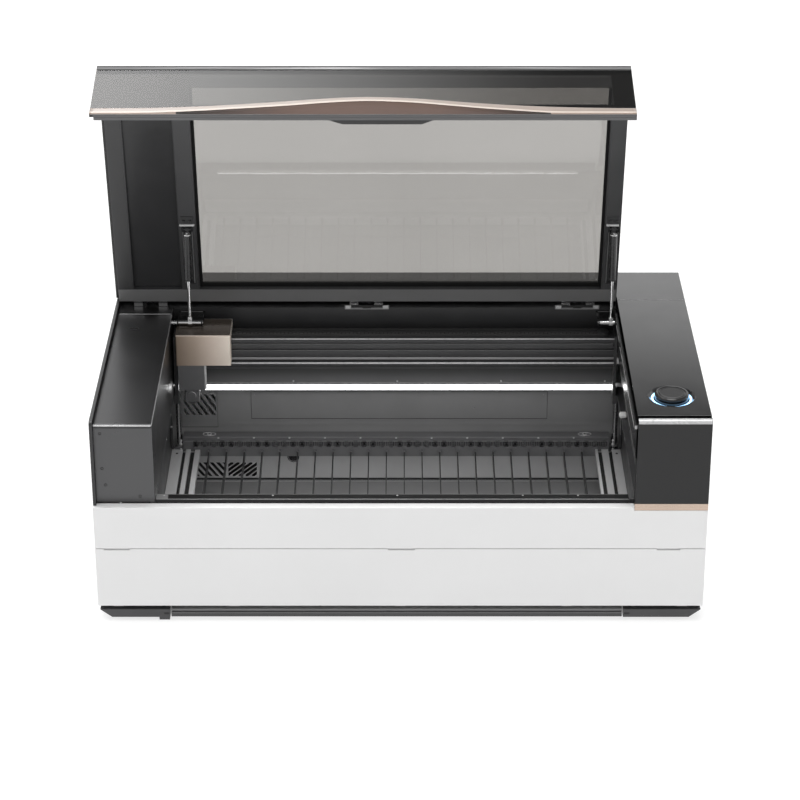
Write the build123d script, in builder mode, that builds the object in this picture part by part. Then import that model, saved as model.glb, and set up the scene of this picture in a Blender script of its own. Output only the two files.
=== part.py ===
from build123d import *
import math
import os

# Desktop laser cutter with a raised glass lid. Millimetres, +Z up, the front faces -Y.
# The helpers take y measured back from the front face; YC moves it to the row frame,
# whose origin is on the ground under the middle of the machine and its rear duct.

# ---------------------------------------------------------------- driving dimensions
W = 1200.0            # overall width
D = 714.0             # depth of the body, front face to rear panel
DUCT = 30.0           # how far the exhaust spigot stands out of the rear panel
YC = (D + DUCT) / 2   # front face to row origin
XO = W / 2            # half width
H_TOP = 446.0         # height of the closed machine
Z_WHITE = 256.0       # top of the white lower shell
Z_SEAM = 165.0        # seam between the front door and the fixed front panel
SHEET = 3.0           # cover sheet thickness
T = 2.0               # inner sheet thickness
X_RB = 457.5          # inner face of the right control box
X_LB = -480.0         # inner face of the left box

HY, HZ = 578.0, 440.0  # lid hinge axis
LID_OPEN = 77.0        # lid opening angle, degrees
LID_X0, LID_X1 = -600.0, 456.0
WIN = 415.0            # half width of the lid window

P0Y, P0Z = 508.0, 421.0        # lower pivot of the gas struts
P1Y, P1Z = 380.7, 422.9        # upper pivot of the gas struts, lid closed
STRUT_X = 440.0

BED_Z = 115.0          # slat top at rest
BED_TRAVEL = 115.0
SLAT_PITCH = 38.1
SLATS = 22
SLAT_X0 = -411.0
POST_R = 6.0
POSTS = [(-474.0, 531.0), (459.0, 531.0), (-463.0, 57.0), (449.0, 57.0)]

BTN_X, BTN_Y = 530.0, 107.0    # start button
FAN_X, FAN_Z, = -300.0, 160.0  # exhaust fan and duct
SPIGOT_R = 49.5

os.makedirs("parts", exist_ok=True)


# ---------------------------------------------------------------- helpers
def slab(x0, x1, y0, y1, z0, z1, mode=Mode.ADD):
    """A block between two corners, added to or cut from the part being built."""
    with Locations(((x0 + x1) / 2, (y0 + y1) / 2 - YC, (z0 + z1) / 2)):
        Box(x1 - x0, y1 - y0, z1 - z0, mode=mode)


def round_bar(p, axis, r, length, mode=Mode.ADD):
    """A cylinder centred on p along X, Y or Z."""
    turn = {"X": (0, 90, 0), "Y": (90, 0, 0), "Z": (0, 0, 0)}[axis]
    with Locations(Location((p[0], p[1] - YC, p[2]), turn)):
        Cylinder(r, length, mode=mode)


def side(x0):
    """Sketch plane at x0 whose axes are y from the front face and z."""
    return Plane(origin=(x0, -YC, 0), x_dir=(0, 1, 0), z_dir=(1, 0, 0))


def front(y0):
    """Sketch plane at y0 whose axes are x and z; a positive extrude goes towards -Y."""
    return Plane(origin=(0, y0 - YC, 0), x_dir=(1, 0, 0), z_dir=(0, -1, 0))


def prism(plane, pts, amount, mode=Mode.ADD):
    """A straight extrusion of a closed polygon."""
    with BuildSketch(plane) as profile:
        with BuildLine():
            Polyline(*pts, close=True)
        make_face()
    extrude(profile.sketch, amount=amount, mode=mode)


def save(p, name):
    p.part.label = name
    export_step(p.part, f"parts/{name}.step")


# ================================================================ base
with BuildPart() as base_left:
    prism(front(710), [(-597, 24.5), (-574, 7), (-458, 7), (-458, 24.5)], 706)
    offset(amount=-2.5, openings=base_left.faces().sort_by(Axis.Y)[-1])
with BuildPart() as base_right:
    prism(front(710), [(597, 24.5), (574, 7), (443, 7), (443, 24.5)], 706)
    offset(amount=-2.5, openings=base_right.faces().sort_by(Axis.Y)[-1])
with BuildPart() as base_rails:
    add(base_left.part)
    add(base_right.part)
    # rear cross member, its lip turned down behind the tray
    prism(side(-458), [(556, 22), (556, 24.5), (710, 24.5), (710, 7), (707.5, 7), (707.5, 22)], 901)
    # runners that carry the debris tray
    slab(-458, -446, 40, 552, 16, 19.7)
    slab(431, 443, 40, 552, 16, 19.7)
    # small stop under the left front corner
    slab(-480, -459, 4, 24, 1, 7)
save(base_rails, "base_rails")

with BuildPart(Plane.XY) as feet:
    for fx in (-530, 530):
        for fy in (66, 650):
            round_bar((fx, fy, 3.5), "Z", 20, 7)
    chamfer(feet.edges().filter_by(GeomType.CIRCLE).group_by(Axis.Z)[0], 1.5)
save(feet, "feet")

with BuildPart() as debris_tray:
    prism(side(-456), [(12.1, 20), (552, 20), (552, 24), (550, 24), (550, 22), (12.1, 22)], 897)
    slab(-456, -454.5, 35, 551, 21, 24)
    slab(439.5, 441, 35, 551, 21, 24)
    # pull bar along the front, with its rear lip behind the pan's front edge
    prism(side(-456), [(4, 9), (5, 8), (11, 8), (12, 9), (12, 22), (10, 22), (10, 17), (4, 17)], 897)
save(debris_tray, "debris_tray")

# ================================================================ white shell
with BuildPart() as front_upper_panel:
    prism(side(-600), [(0, Z_SEAM + .5), (3, Z_SEAM + .5), (3, 253), (19, 253), (19, 256), (0, 256)], 1056)
    prism(side(456), [(0, Z_SEAM + .5), (3, Z_SEAM + .5), (3, 247.5), (19, 247.5), (19, 250.5), (0, 250.5)], 144)
    fillet(front_upper_panel.edges().filter_by(Axis.X).filter_by(
        lambda e: abs(e.center().Y + YC) < 0.1 and e.center().Z > 240), 2)
save(front_upper_panel, "front_upper_panel")

DH_Y, DH_Z = 8.0, 36.0   # front door hinge axis
BRACKETS = (-470, -160, 150, 455)
with BuildPart() as front_door:
    with BuildSketch(side(-600)):
        with BuildLine():
            Line((0, 164), (0, 42))
            ThreePointArc((0, 42), (12 - 12 * math.cos(math.pi / 4), 42 - 12 * math.sin(math.pi / 4)), (12, 30))
            Line((12, 30), (12, 33))
            ThreePointArc((12, 33), (12 - 9 * math.cos(math.pi / 4), 42 - 9 * math.sin(math.pi / 4)), (3, 42))
            Line((3, 42), (3, 164))
            Line((3, 164), (0, 164))
        make_face()
    extrude(amount=1200)
    for kx in (-560, -330, 0, 330, 560):            # knuckles on the hinge rod
        slab(kx - 10, kx + 10, 5, 11, 31.8, 39.5)
    round_bar((0, DH_Y, DH_Z), "X", 1.56, 1190, Mode.SUBTRACT)
    for bx in BRACKETS:                             # room for the hinge brackets
        slab(bx - 3, bx + 3, 4, 13, 29, 37, Mode.SUBTRACT)
    for n0, n1 in ((-583, -532), (-24, 28), (504, 550)):   # finger notches at the seam
        slab(n0, n1, -1, 4, 161.2, 165, Mode.SUBTRACT)
save(front_door, "front_door")

with BuildPart() as door_hinge_rod:
    round_bar((0, DH_Y, DH_Z), "X", 1.5, 1184)
    for bx in BRACKETS:
        slab(bx - 1.5, bx + 1.5, 6.4, 38, 33.4, 38.6)
save(door_hinge_rod, "door_hinge_rod")

with BuildPart() as side_panel_left:
    prism(side(-600), [(3.6, 252.5), (3.6, 46), (16, 46), (16, 30), (710.8, 30), (710.8, 256), (19.6, 256),
                       (19.6, 252.5)], SHEET)
save(side_panel_left, "side_panel_left")
with BuildPart() as side_panel_right:
    prism(side(597), [(3.6, 247), (3.6, 46), (16, 46), (16, 30), (710.8, 30), (710.8, 250), (19.6, 250),
                      (19.6, 247)], SHEET)
save(side_panel_right, "side_panel_right")

with BuildPart() as rear_lower_panel:
    slab(-600, 600, 711, 714, 30, 256)
    round_bar((FAN_X, 712, FAN_Z), "Y", 51, 10, Mode.SUBTRACT)
    slab(455, 505, 700, 720, 70, 110, Mode.SUBTRACT)       # power inlet
    slab(455.5, 480.5, 700, 720, 122, 140, Mode.SUBTRACT)  # power switch
    with BuildSketch(front(714)):                          # vent slots
        with Locations((60, 150)):
            with GridLocations(14, 60, 16, 2):
                SlotOverall(46, 6, rotation=90)
    extrude(amount=4, mode=Mode.SUBTRACT)
save(rear_lower_panel, "rear_lower_panel")

# ================================================================ dark upper shell
with BuildPart() as rear_upper_panel:
    slab(-600, 600, 711, 714, 256.3, 440)
    with BuildSketch(front(714)):
        with Locations((330, 360)):
            with GridLocations(14, 60, 12, 2):
                SlotOverall(46, 6, rotation=90)
    extrude(amount=4, mode=Mode.SUBTRACT)
save(rear_upper_panel, "rear_upper_panel")

with BuildPart() as left_cheek:
    prism(side(-600), [(9, 256.3), (710.8, 256.3), (710.8, 438), (9, 438)], 6)
    fillet(left_cheek.edges().filter_by(Axis.X).filter_by(
        lambda e: e.center().Y + YC < 12 and e.center().Z > 430), 9)
save(left_cheek, "left_cheek")

HOLES = [(-580.6, 408.0), (-579.9, 332.1), (-574.5, 296.1), (-508.3, 271.1)]
with BuildPart() as left_cover:
    slab(-593.5, X_LB, 20, 577.8, 258, 425.5)
    fillet(left_cover.edges().filter_by(Axis.X).filter_by(
        lambda e: e.center().Y + YC < 25 and e.center().Z > 400), 8)
    offset(amount=-2.5, openings=left_cover.faces().sort_by(Axis.Z)[0])
    with BuildSketch(front(20)):
        with Locations(*HOLES):
            Circle(2.4)
    extrude(amount=-4, mode=Mode.SUBTRACT)
save(left_cover, "left_cover")

with BuildPart() as right_top_panel:
    slab(X_RB, 600, 22, 568.5, 443, H_TOP)
    slab(460.6, 595.4, 22, 24, 438.5, 443.5)
    slab(460.6, 595.4, 12.6, 24, 438.5, 440.5)
    round_bar((BTN_X, BTN_Y, 444), "Z", 47.5, 12, Mode.SUBTRACT)
save(right_top_panel, "right_top_panel")

with BuildPart() as right_front_panel:
    with BuildSketch(side(X_RB)):
        with BuildLine():
            Line((0, 265), (0, 436))
            ThreePointArc((0, 436), (10 - 10 * math.cos(math.pi / 4), 436 + 10 * math.sin(math.pi / 4)), (10, 446))
            Line((10, 446), (12, 446))
            Line((12, 446), (12, 443))
            Line((12, 443), (10, 443))
            ThreePointArc((10, 443), (10 - 7 * math.cos(math.pi / 4), 436 + 7 * math.sin(math.pi / 4)), (3, 436))
            Line((3, 436), (3, 265))
            Line((3, 265), (0, 265))
        make_face()
    extrude(amount=600 - X_RB)
save(right_front_panel, "right_front_panel")

with BuildPart() as right_side_panel:
    prism(side(596), [(6.2, 250.6), (710.8, 250.6), (710.8, 442.7), (10, 442.7), (3.3, 436), (3.3, 266), (6.2, 266)], 4)
save(right_side_panel, "right_side_panel")

with BuildPart() as right_inner_wall:
    prism(side(X_RB), [(3.3, 266), (6.2, 266), (6.2, Z_WHITE), (710.8, Z_WHITE), (710.8, 440), (585, 440), (585, 442.7),
                       (10, 442.7), (3.3, 436)], 2.5)
    slab(451.5, 457.6, 20, 560, 418, 426)              # ledge the lid closes on
save(right_inner_wall, "right_inner_wall")

with BuildPart() as right_trim_strip:
    slab(456.5, 600, 0, 6, 250.5, 264.6)
save(right_trim_strip, "right_trim_strip")

with BuildPart() as rear_top_cover:
    slab(-600, 600, 586, 714, 443, H_TOP)
    slab(X_RB, 600, 569.5, 587, 443, H_TOP)
    slab(-600, 600, 711, 714, 440.2, 443.5)
save(rear_top_cover, "rear_top_cover")

# ================================================================ start button
with BuildPart() as button_housing:
    with BuildSketch(Plane(origin=(BTN_X, BTN_Y - YC, 0), x_dir=(1, 0, 0), z_dir=(0, -1, 0))):
        with BuildLine():
            Polyline((34.2, 431), (34.2, 441), (35.8, 441), (35.8, 438.5), (39.8, 438.5), (39.8, 441),
                     (45.0, 446), (47.2, 446), (47.2, 431), close=True)
        make_face()
    revolve(axis=Axis((BTN_X, BTN_Y - YC, 0), (0, 0, 1)))
save(button_housing, "button_housing")

with BuildPart() as button_ring:
    with BuildSketch(Plane.XY.offset(438.5)):
        with Locations((BTN_X, BTN_Y - YC)):
            Circle(39.7)
            Circle(35.9, mode=Mode.SUBTRACT)
    extrude(amount=3)
save(button_ring, "button_ring")

with BuildPart() as start_button:
    round_bar((BTN_X, BTN_Y, 443.5), "Z", 33.6, 21)
    fillet(start_button.edges().filter_by(GeomType.CIRCLE).group_by(Axis.Z)[-1], 6)
save(start_button, "start_button")

# ================================================================ work chamber
with BuildPart() as front_sill:
    prism(side(-478), [(19.5, 240), (21.5, 240), (21.5, 261.5), (40.2, 261.5), (40.2, 250), (42, 250), (42, 264),
                       (19.5, 264)], 925)
    fillet(front_sill.edges().filter_by(Axis.X).filter_by(lambda e: e.center().Z > 263.5), 1.2)
save(front_sill, "front_sill")

with BuildPart() as chamber_front_wall:
    # four sheets bolted edge to edge around the pass-through slot behind the front door
    slab(-491, 473, 38, 40, 160, 255.5)
    slab(-491, 473, 38, 40, 27, 115)
    slab(-491, -455, 38, 40, 115.1, 159.9)
    slab(437, 473, 38, 40, 115.1, 159.9)
save(chamber_front_wall, "chamber_front_wall")

with BuildPart() as chamber_side_walls:
    slab(-493, -491, 38, 562, 24.8, 255.5)
    slab(473, 475, 38, 562, 24.8, 255.5)
save(chamber_side_walls, "chamber_side_walls")


def slats(cx, cz, w, h, pitch, slit, tilt):
    """Slanted vent slits clipped to a w by h window."""
    n = int(w / pitch) + 4
    with Locations(*[(cx + (i - n / 2) * pitch, cz) for i in range(n + 1)]):
        SlotOverall(h * 1.6, slit, rotation=tilt)
    with Locations((cx, cz)):
        Rectangle(w, h, mode=Mode.INTERSECT)


with BuildPart() as chamber_rear_wall:
    slab(-491, 473, 560, 562, 24.8, 255.5)
    slab(-479.5, 457, 560, 562, 255.4, 335)
    for gx, gz, gw, gh, gt in ((-430.5, 203.5, 69, 49, 123), (-411, 47, 62, 34, 128), (-343, 47, 62, 34, 38)):
        with BuildSketch(front(560)):
            slats(gx, gz, gw, gh, 14, 6.5, gt)
        extrude(amount=-2, both=False, mode=Mode.SUBTRACT)
    round_bar((-232, 561, 78), "Y", 12, 6, Mode.SUBTRACT)
    # shallow recess of the access panel
    slab(-320, 315, 559.5, 560.6, 170, 235, Mode.SUBTRACT)
save(chamber_rear_wall, "chamber_rear_wall")

with BuildPart() as tube_wall:
    prism(side(-479.5), [(562.2, 333), (582, 333), (582, 390.5), (580, 390.5), (580, 335), (562.2, 335)], 936)
    for sx in (-430, -30, 370):                            # saddles under the laser tube
        slab(sx, sx + 30, 581, 665, 326, 331)
        slab(sx, sx + 30, 581, 584, 326, 345)
save(tube_wall, "tube_wall")

with BuildPart() as laser_tube:
    round_bar((-40, 640, 359), "X", 27, 900)
    round_bar((-40, 640, 359), "X", 9, 960)
    fillet(laser_tube.edges().filter_by(GeomType.CIRCLE).filter_by(
        lambda e: e.radius > 20), 6)
save(laser_tube, "laser_tube")

with BuildPart() as power_supply:
    slab(200, 400, 590, 700, 24.5, 120)
    slab(206, 394, 588.6, 591, 40, 104, Mode.SUBTRACT)
save(power_supply, "power_supply")

with BuildPart() as hinge_rail:
    prism(side(-593.2), [(578.4, 391), (610, 391), (610, 393.5), (581, 393.5), (581, 421.5), (610, 421.5), (610, 424),
                         (578.4, 424)], 1049.7)
save(hinge_rail, "hinge_rail")

HINGES = (-528.0, -72.0, 375.0)
with BuildPart() as lid_hinge_pins:
    for hx in HINGES:
        round_bar((hx, HY, HZ), "X", 3, 70)
        for s in (-1, 1):
            round_bar((hx + s * 26, HY, HZ), "X", 5.2, 18)
            slab(hx + s * 26 - 9, hx + s * 26 + 9, 579.2, 583, 424, 440)
save(lid_hinge_pins, "lid_hinge_pins")

# light bar along the top of the rear wall, with its sloped hood
with BuildPart() as light_hood:
    prism(side(-479.3), [(560, 300), (557, 300), (546.5, 266), (546.5, 258.4), (560, 258.4)], 936)
save(light_hood, "light_hood")
LED_TICKS = [-478.8, -340, -118, 104, 324, 456.8]
with BuildPart() as light_diffuser:
    for a, b in zip(LED_TICKS[:-1], LED_TICKS[1:]):
        slab(a + .6, b - .6, 547, 560, 246, 258.4)
save(light_diffuser, "light_diffuser")

with BuildPart() as y_rails:
    slab(-491, -481, 50, 545, 242, 254)
    slab(461, 473, 50, 545, 242, 254)
save(y_rails, "y_rails")

with BuildPart() as lift_posts:
    for i, (px, py) in enumerate(POSTS):
        z1 = 234
        round_bar((px, py, (24.8 + z1) / 2), "Z", POST_R, z1 - 24.8)
        round_bar((px, py, 28), "Z", 10, 6.4)
save(lift_posts, "lift_posts")

with BuildPart() as strut_pins:
    round_bar((-447.5, P0Y, P0Z), "X", 4, 65)
    round_bar((433.25, P0Y, P0Z), "X", 4, 36.5)
save(strut_pins, "strut_pins")

# ================================================================ exhaust
with BuildPart() as exhaust_spigot:
    with BuildSketch(Plane(origin=(FAN_X, 0, FAN_Z), x_dir=(0, 1, 0), z_dir=(1, 0, 0))):
        with BuildLine():
            Polyline((650 - YC, 47), (744 - YC, 47), (744 - YC, SPIGOT_R), (714.2 - YC, SPIGOT_R), (714.2 - YC, 50.4),
                     (710.7 - YC, 50.4), (710.7 - YC, 57), (707.7 - YC, 57), (707.7 - YC, 50.4), (650 - YC, 50.4),
                     close=True)
        make_face()
    revolve(axis=Axis((FAN_X, 0, FAN_Z), (0, 1, 0)))
    round_bar((FAN_X, 655, FAN_Z), "Y", 15, 20)            # motor can, held by three spokes
    for i in range(3):
        ca, sa = math.cos(math.radians(90 + 120 * i)), math.sin(math.radians(90 + 120 * i))
        prism(front(652), [(FAN_X + u * ca - v * sa, FAN_Z + u * sa + v * ca)
                           for u, v in ((12, -2), (48, -2), (48, 2), (12, 2))], -6)
save(exhaust_spigot, "exhaust_spigot")

with BuildPart() as fan_rotor:
    round_bar((FAN_X, 678, FAN_Z), "Y", 16, 22)
    for i in range(7):
        a = 2 * math.pi / 7 * i
        tilt = math.radians(35)                            # blade angle to the shaft
        blade = Plane(origin=(FAN_X, 678 - YC, FAN_Z), x_dir=(math.cos(a), 0, math.sin(a)),
                      z_dir=(-math.sin(a) * math.cos(tilt), math.sin(tilt), math.cos(a) * math.cos(tilt)))
        with BuildSketch(blade):
            with BuildLine():
                Polyline((12, -8), (44.5, -11), (44.5, 11), (12, 8), close=True)
            make_face()
        extrude(amount=0.9, both=True)
save(fan_rotor, "fan_rotor")

with BuildPart() as power_inlet:
    slab(455.3, 504.7, 690, 716, 70.3, 109.7)
    slab(463, 497, 700, 718, 78, 102, Mode.SUBTRACT)
    for px, pz in ((472, 88), (488, 88), (480, 94)):
        slab(px - 1.5, px + 1.5, 699, 708, pz - 3, pz + 3)
save(power_inlet, "power_inlet")

with BuildPart() as power_switch:
    prism(side(456.2), [(706, 123.6), (713.5, 123.6), (715, 131), (716.4, 138.4), (706, 138.4)], 23.6)
    round_bar((468, 709, 131), "X", 1.8, 27)               # rocker pivot
save(power_switch, "power_switch")

with BuildPart() as panel_screws:
    for hx, hz in HOLES:
        round_bar((hx, 23, hz), "Y", 2.3, 5.6)
    for sx in (-588, -360, -130, 100, 330, 588):
        for sz in (38, 248, 264, 432):
            round_bar((sx, 714.7, sz), "Y", 3.5, 1.4)
save(panel_screws, "panel_screws")

# ================================================================ gantry (slides towards the front)
GX0, GX1 = -469.0, 449.0
with BuildPart() as gantry_beam:
    prism(side(GX0), [(500, 388), (500, 367), (504, 367), (504, 361), (500, 361), (500, 352), (504, 352), (504, 345.5),
                      (500, 345.5), (500, 338), (502, 338), (502, 334), (497, 334), (497, 328.5), (503, 328.5),
                      (506, 326), (506, 315), (545, 315), (545, 388)], GX1 - GX0)
    prism(side(GX0 - 1), [(508, 384), (541, 384), (541, 319), (510, 319), (510, 330), (508, 334)], GX1 - GX0 + 2,
          Mode.SUBTRACT)
    with BuildSketch(front(500)):                          # row of adjustment holes
        with Locations((-4, 377)):
            with GridLocations(104, 10, 9, 1):
                Circle(1.8)
    extrude(amount=-9, mode=Mode.SUBTRACT)
save(gantry_beam, "gantry_beam")

with BuildPart() as gantry_ends:
    slab(-477, GX0, 500, 545, 236, 392)
    slab(-480.4, GX0, 499, 545, 236, 256)
    slab(GX1, 455, 500, 545, 236, 392)
    slab(GX1, 460.5, 499, 545, 236, 255)
    round_bar((-448, 523, 391.6), "Z", 12.5, 7.2)          # belt pulleys
    round_bar((426, 523, 391.6), "Z", 12.5, 7.2)
save(gantry_ends, "gantry_ends")

with BuildPart() as x_belt:
    with BuildSketch(Plane.XY.offset(388.6)):
        with Locations((-11, 523 - YC)):
            SlotCenterToCenter(874, 28.2)
            SlotCenterToCenter(874, 25.3, mode=Mode.SUBTRACT)
    extrude(amount=6)
save(x_belt, "x_belt")

with BuildPart() as x_guide_rail:
    slab(-466, 446, 494.5, 500, 368, 378)
    fillet(x_guide_rail.edges().filter_by(Axis.X), 1)
save(x_guide_rail, "x_guide_rail")

# ================================================================ laser head (slides along the beam)
with BuildPart() as head_cover:
    prism(side(-468), [(460, 344), (460, 413), (545, 413), (545, 396), (491, 396), (491, 344)], 114)
    fillet(head_cover.edges().filter_by(lambda e: abs(e.center().Y + YC - 460) < 0.1 and e.center().Z > 350), 2)
    slab(-465.5, -356.5, 462.5, 546, 340, 410.5, Mode.SUBTRACT)
save(head_cover, "head_cover")

with BuildPart() as head_carriage:
    slab(-463, -359, 463.2, 493.8, 346, 386)
    slab(-465, -410, 463.2, 493, 286, 347)
    for rx in (-447, -429):
        round_bar((rx, 481, 305), "Z", 2.58, 60, Mode.SUBTRACT)
save(head_carriage, "head_carriage")

with BuildPart() as focus_block:
    slab(-454, -422, 466, 492, 256, 284.8)
    fillet(focus_block.edges().filter_by(Axis.Z), 3)
    round_bar((-438, 465.5, 272), "Y", 8, 5)               # round front lens
    for rx in (-447, -429):
        round_bar((rx, 481, 298), "Z", 2.5, 30)
    round_bar((-438, 479, 252.5), "Z", 5, 8)
save(focus_block, "focus_block")

# ================================================================ lifting bed
with BuildPart() as bed_frame:
    slab(-490, -430, 50, 519.6, 104, 111)
    slab(-490, -467, 50, 519.6, 110, 116.5)
    slab(-460, -450, 50, 519.6, 110, 117)
    slab(-441, -430, 50, 519.6, 110, 116)
    slab(418.5, 472, 50, 519.6, 104, 111)
    slab(418.5, 423.5, 50, 519.6, 110, 117)
    slab(432, 446, 50, 519.6, 110, 117)
    slab(454, 472, 50, 519.6, 110, 116.5)
    slab(-431, 419, 50, 58, 92, 111)                       # front cross member
    for px, py in POSTS[2:]:
        round_bar((px, py, 110), "Z", POST_R + .06, 40, Mode.SUBTRACT)
save(bed_frame, "bed_frame")

with BuildPart() as bed_rear_comb:
    slab(-466, 448, 520, 544, 120, 147)
    slab(-466, 448, 520, 524, 100, 121)
    slab(-463, 445, 519, 521.5, 137.5, 142, Mode.SUBTRACT)  # long groove under the top edge
    for i in range(SLATS * 2 + 3):                          # comb notches
        cx = SLAT_X0 - SLAT_PITCH + i * SLAT_PITCH / 2 + 9.5
        if cx < 440:
            slab(cx - 4.5, cx + 4.5, 519, 530, 122, 133, Mode.SUBTRACT)
    for px, py in POSTS[:2]:
        x0, x1 = (px - 10, -465) if px < 0 else (447, px + 10)
        slab(x0, x1, 521, 541, 100, 112)
        slab(x0 if px < 0 else 447, -465 if px < 0 else 449, 521, 541, 111, 121)
        round_bar((px, py, 106), "Z", POST_R + .06, 60, Mode.SUBTRACT)
save(bed_rear_comb, "bed_rear_comb")

with BuildPart() as bed_slats:
    for i in range(SLATS):
        sx = SLAT_X0 + i * SLAT_PITCH
        prism(side(sx - 1), [(58, 93), (58, 111), (64, 111), (68, BED_Z), (510, BED_Z), (516, 111), (520, 111),
                             (520, 101), (500, 93)], 2)
save(bed_slats, "bed_slats")

# ================================================================ lid
# Built on a plane that carries the open lid: its local axes are those of the closed lid, measured from the hinge axis.
TH = math.radians(LID_OPEN)
LID = Plane(origin=(0, HY - YC, HZ), x_dir=(1, 0, 0), z_dir=(0, math.sin(TH), math.cos(TH)))


def lid_slab(x0, x1, y0, y1, z0, z1, mode=Mode.ADD):
    """A block given in closed-lid coordinates."""
    at = Location(LID) * Location(((x0 + x1) / 2, (y0 + y1) / 2 - HY, (z0 + z1) / 2 - HZ))
    with Locations(at):
        Box(x1 - x0, y1 - y0, z1 - z0, mode=mode)


def lid_top(z0):
    """Sketch plane at closed height z0; axes x and closed y."""
    return Plane(origin=LID.from_local_coords((0, -HY, z0 - HZ)), x_dir=LID.x_dir, z_dir=LID.z_dir)


def lid_front(y0):
    """Sketch plane at closed y0; axes x and closed z; a positive extrude goes outwards."""
    return Plane(origin=LID.from_local_coords((0, y0 - HY, -HZ)), x_dir=LID.x_dir,
                 z_dir=(-LID.y_dir.X, -LID.y_dir.Y, -LID.y_dir.Z))


def lid_side(x0):
    """Sketch plane at x0; axes closed y and closed z."""
    return Plane(origin=LID.from_local_coords((x0, -HY, -HZ)), x_dir=LID.y_dir, z_dir=LID.x_dir)


def lid_bar_x(x0, x1, y, z, r, mode=Mode.ADD):
    with BuildSketch(lid_side(x0)) as disc:
        with Locations((y, z)):
            Circle(r)
    extrude(disc.sketch, amount=x1 - x0, mode=mode)


with BuildPart() as lid_frame:
    lid_slab(-593, -560, 12, 571, 427.5, 441)              # outer left rail
    lid_slab(-458, -421, 40, 538, 427.5, 441)              # inner left rail
    lid_slab(-451, -429, 362, 524, 427, 436, Mode.SUBTRACT)
    lid_slab(421, 454, 40, 538, 427.5, 441)                # right rail
    lid_slab(429, 451, 362, 524, 427, 436, Mode.SUBTRACT)
    lid_slab(-560, 454, 538, 571, 427.5, 441)              # rear rail
    lid_slab(-560, 454, 12, 40, 427.5, 441)                # front rail
    lid_slab(-560, -458, 40, 538, 437, 440)                # closed side panel
save(lid_frame, "lid_frame")

with BuildPart() as lid_top_glass:
    lid_slab(LID_X0, LID_X1, 0, 571, 442, 446)
    fillet(lid_top_glass.edges().filter_by(Axis.X).sort_by(Axis.Z)[-1], 1.5)
save(lid_top_glass, "lid_top_glass")

with BuildPart() as lid_front_glass:
    lid_slab(LID_X0, LID_X1, 0, 4, 268, 442)
save(lid_front_glass, "lid_front_glass")

with BuildPart() as lid_mask:
    lid_slab(LID_X0, LID_X1, 5.2, 571, 441, 442)
    lid_slab(-WIN, WIN, 46, 528, 440, 443, Mode.SUBTRACT)
    lid_slab(LID_X0, LID_X1, 4, 5, 268, 442)
    lid_slab(-WIN, WIN, 3, 6, 311, 417, Mode.SUBTRACT)
save(lid_mask, "lid_mask")

with BuildPart() as lid_front_shell:
    lid_slab(-592, 456, 5, 11.3, 266.5, 441)
    lid_slab(-418, 418, 4, 13, 309, 419, Mode.SUBTRACT)
    with BuildSketch(lid_top(266.5)):                      # finger lip at the middle
        with BuildLine():
            Polyline((-134, 11), (65, 11), (40, 20.5), (-111, 20.5), close=True)
        make_face()
    extrude(amount=6)
save(lid_front_shell, "lid_front_shell")

WAVE = [(-600, 290.5), (-500, 291), (-433, 293), (-308, 301), (-212, 312), (-135, 323), (-62, 330), (20, 326),
        (76, 319), (153, 308), (230, 300), (307, 294.5), (384, 291.5), (456, 290.5)]
BAND_LOW = [(-433, 272), (-308, 281), (-212, 294), (-135, 306.5), (-62, 314.5), (20, 310), (76, 302), (153, 290),
            (230, 280), (290, 272)]
with BuildPart() as lid_trim:
    with BuildSketch(lid_front(0)):
        with BuildLine():
            Spline(*WAVE, tangents=((1, 0), (1, 0)))
            Line((456, 290.5), (456, 266.5))
            Line((456, 266.5), (-600, 266.5))
            Line((-600, 266.5), (-600, 290.5))
        make_face()
    extrude(amount=1.8)
    with BuildSketch(lid_front(1.0)):                      # scooped recess under the wave
        with BuildLine():
            Spline(*BAND_LOW)
            Line((290, 272), (288, 269.7))
            Line((288, 269.7), (-431, 269.7))
            Line((-431, 269.7), (-433, 272))
        make_face()
    extrude(amount=1.7, mode=Mode.SUBTRACT)
    lid_slab(LID_X0, LID_X1, 0, 4.8, 266.5, 268)
save(lid_trim, "lid_trim")

with BuildPart() as lid_gasket:
    lid_slab(-421, 421, 40, 538, 436.5, 441)
    lid_slab(-WIN, WIN, 46, 528, 430, 443, Mode.SUBTRACT)
save(lid_gasket, "lid_gasket")

with BuildPart() as lid_hinge_leaves:
    for hx in HINGES:
        lid_slab(hx - 15, hx + 15, 571, 573, 428, 441)
        lid_slab(hx - 15, hx + 15, 572, 576, 437.5, 441)
        lid_bar_x(hx - 15, hx + 15, HY, HZ, 5.2)
        lid_bar_x(hx - 16, hx + 16, HY, HZ, 3.06, Mode.SUBTRACT)
    for c in (-1, 1):                                      # ears of the strut mounts
        for e0, e1 in ((-11, -8.5), (8.5, 11)):
            with BuildSketch(lid_side(c * STRUT_X + e0)):
                with BuildLine():
                    Polyline((372, 436), (376, 419.5), (385.4, 419.5), (389.4, 436), close=True)
                make_face()
            extrude(amount=e1 - e0)
save(lid_hinge_leaves, "lid_hinge_leaves")

# ================================================================ gas struts, lid open
P0 = Vector(0, P0Y - YC, P0Z)
P1 = LID.from_local_coords((0, P1Y - HY, P1Z - HZ))
P1 = Vector(0, P1.Y, P1.Z)
U = (P1 - P0).normalized()
L_OPEN = (P1 - P0).length
V0 = Vector(0, P0Y, P0Z)
L_SHUT = math.hypot(P1Y - P0Y, P1Z - P0Z)


def along(x, s):
    """Plane across the strut at distance s from the lower pivot."""
    return Plane(origin=(x, P0.Y + U.Y * s, P0.Z + U.Z * s), x_dir=(1, 0, 0), z_dir=(U.X, U.Y, U.Z))


def cross(x0, s):
    """Plane whose normal is +X, centred on the strut at distance s."""
    return Plane(origin=(x0, P0.Y + U.Y * s, P0.Z + U.Z * s), x_dir=(0, U.Y, U.Z), z_dir=(1, 0, 0))


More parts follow.
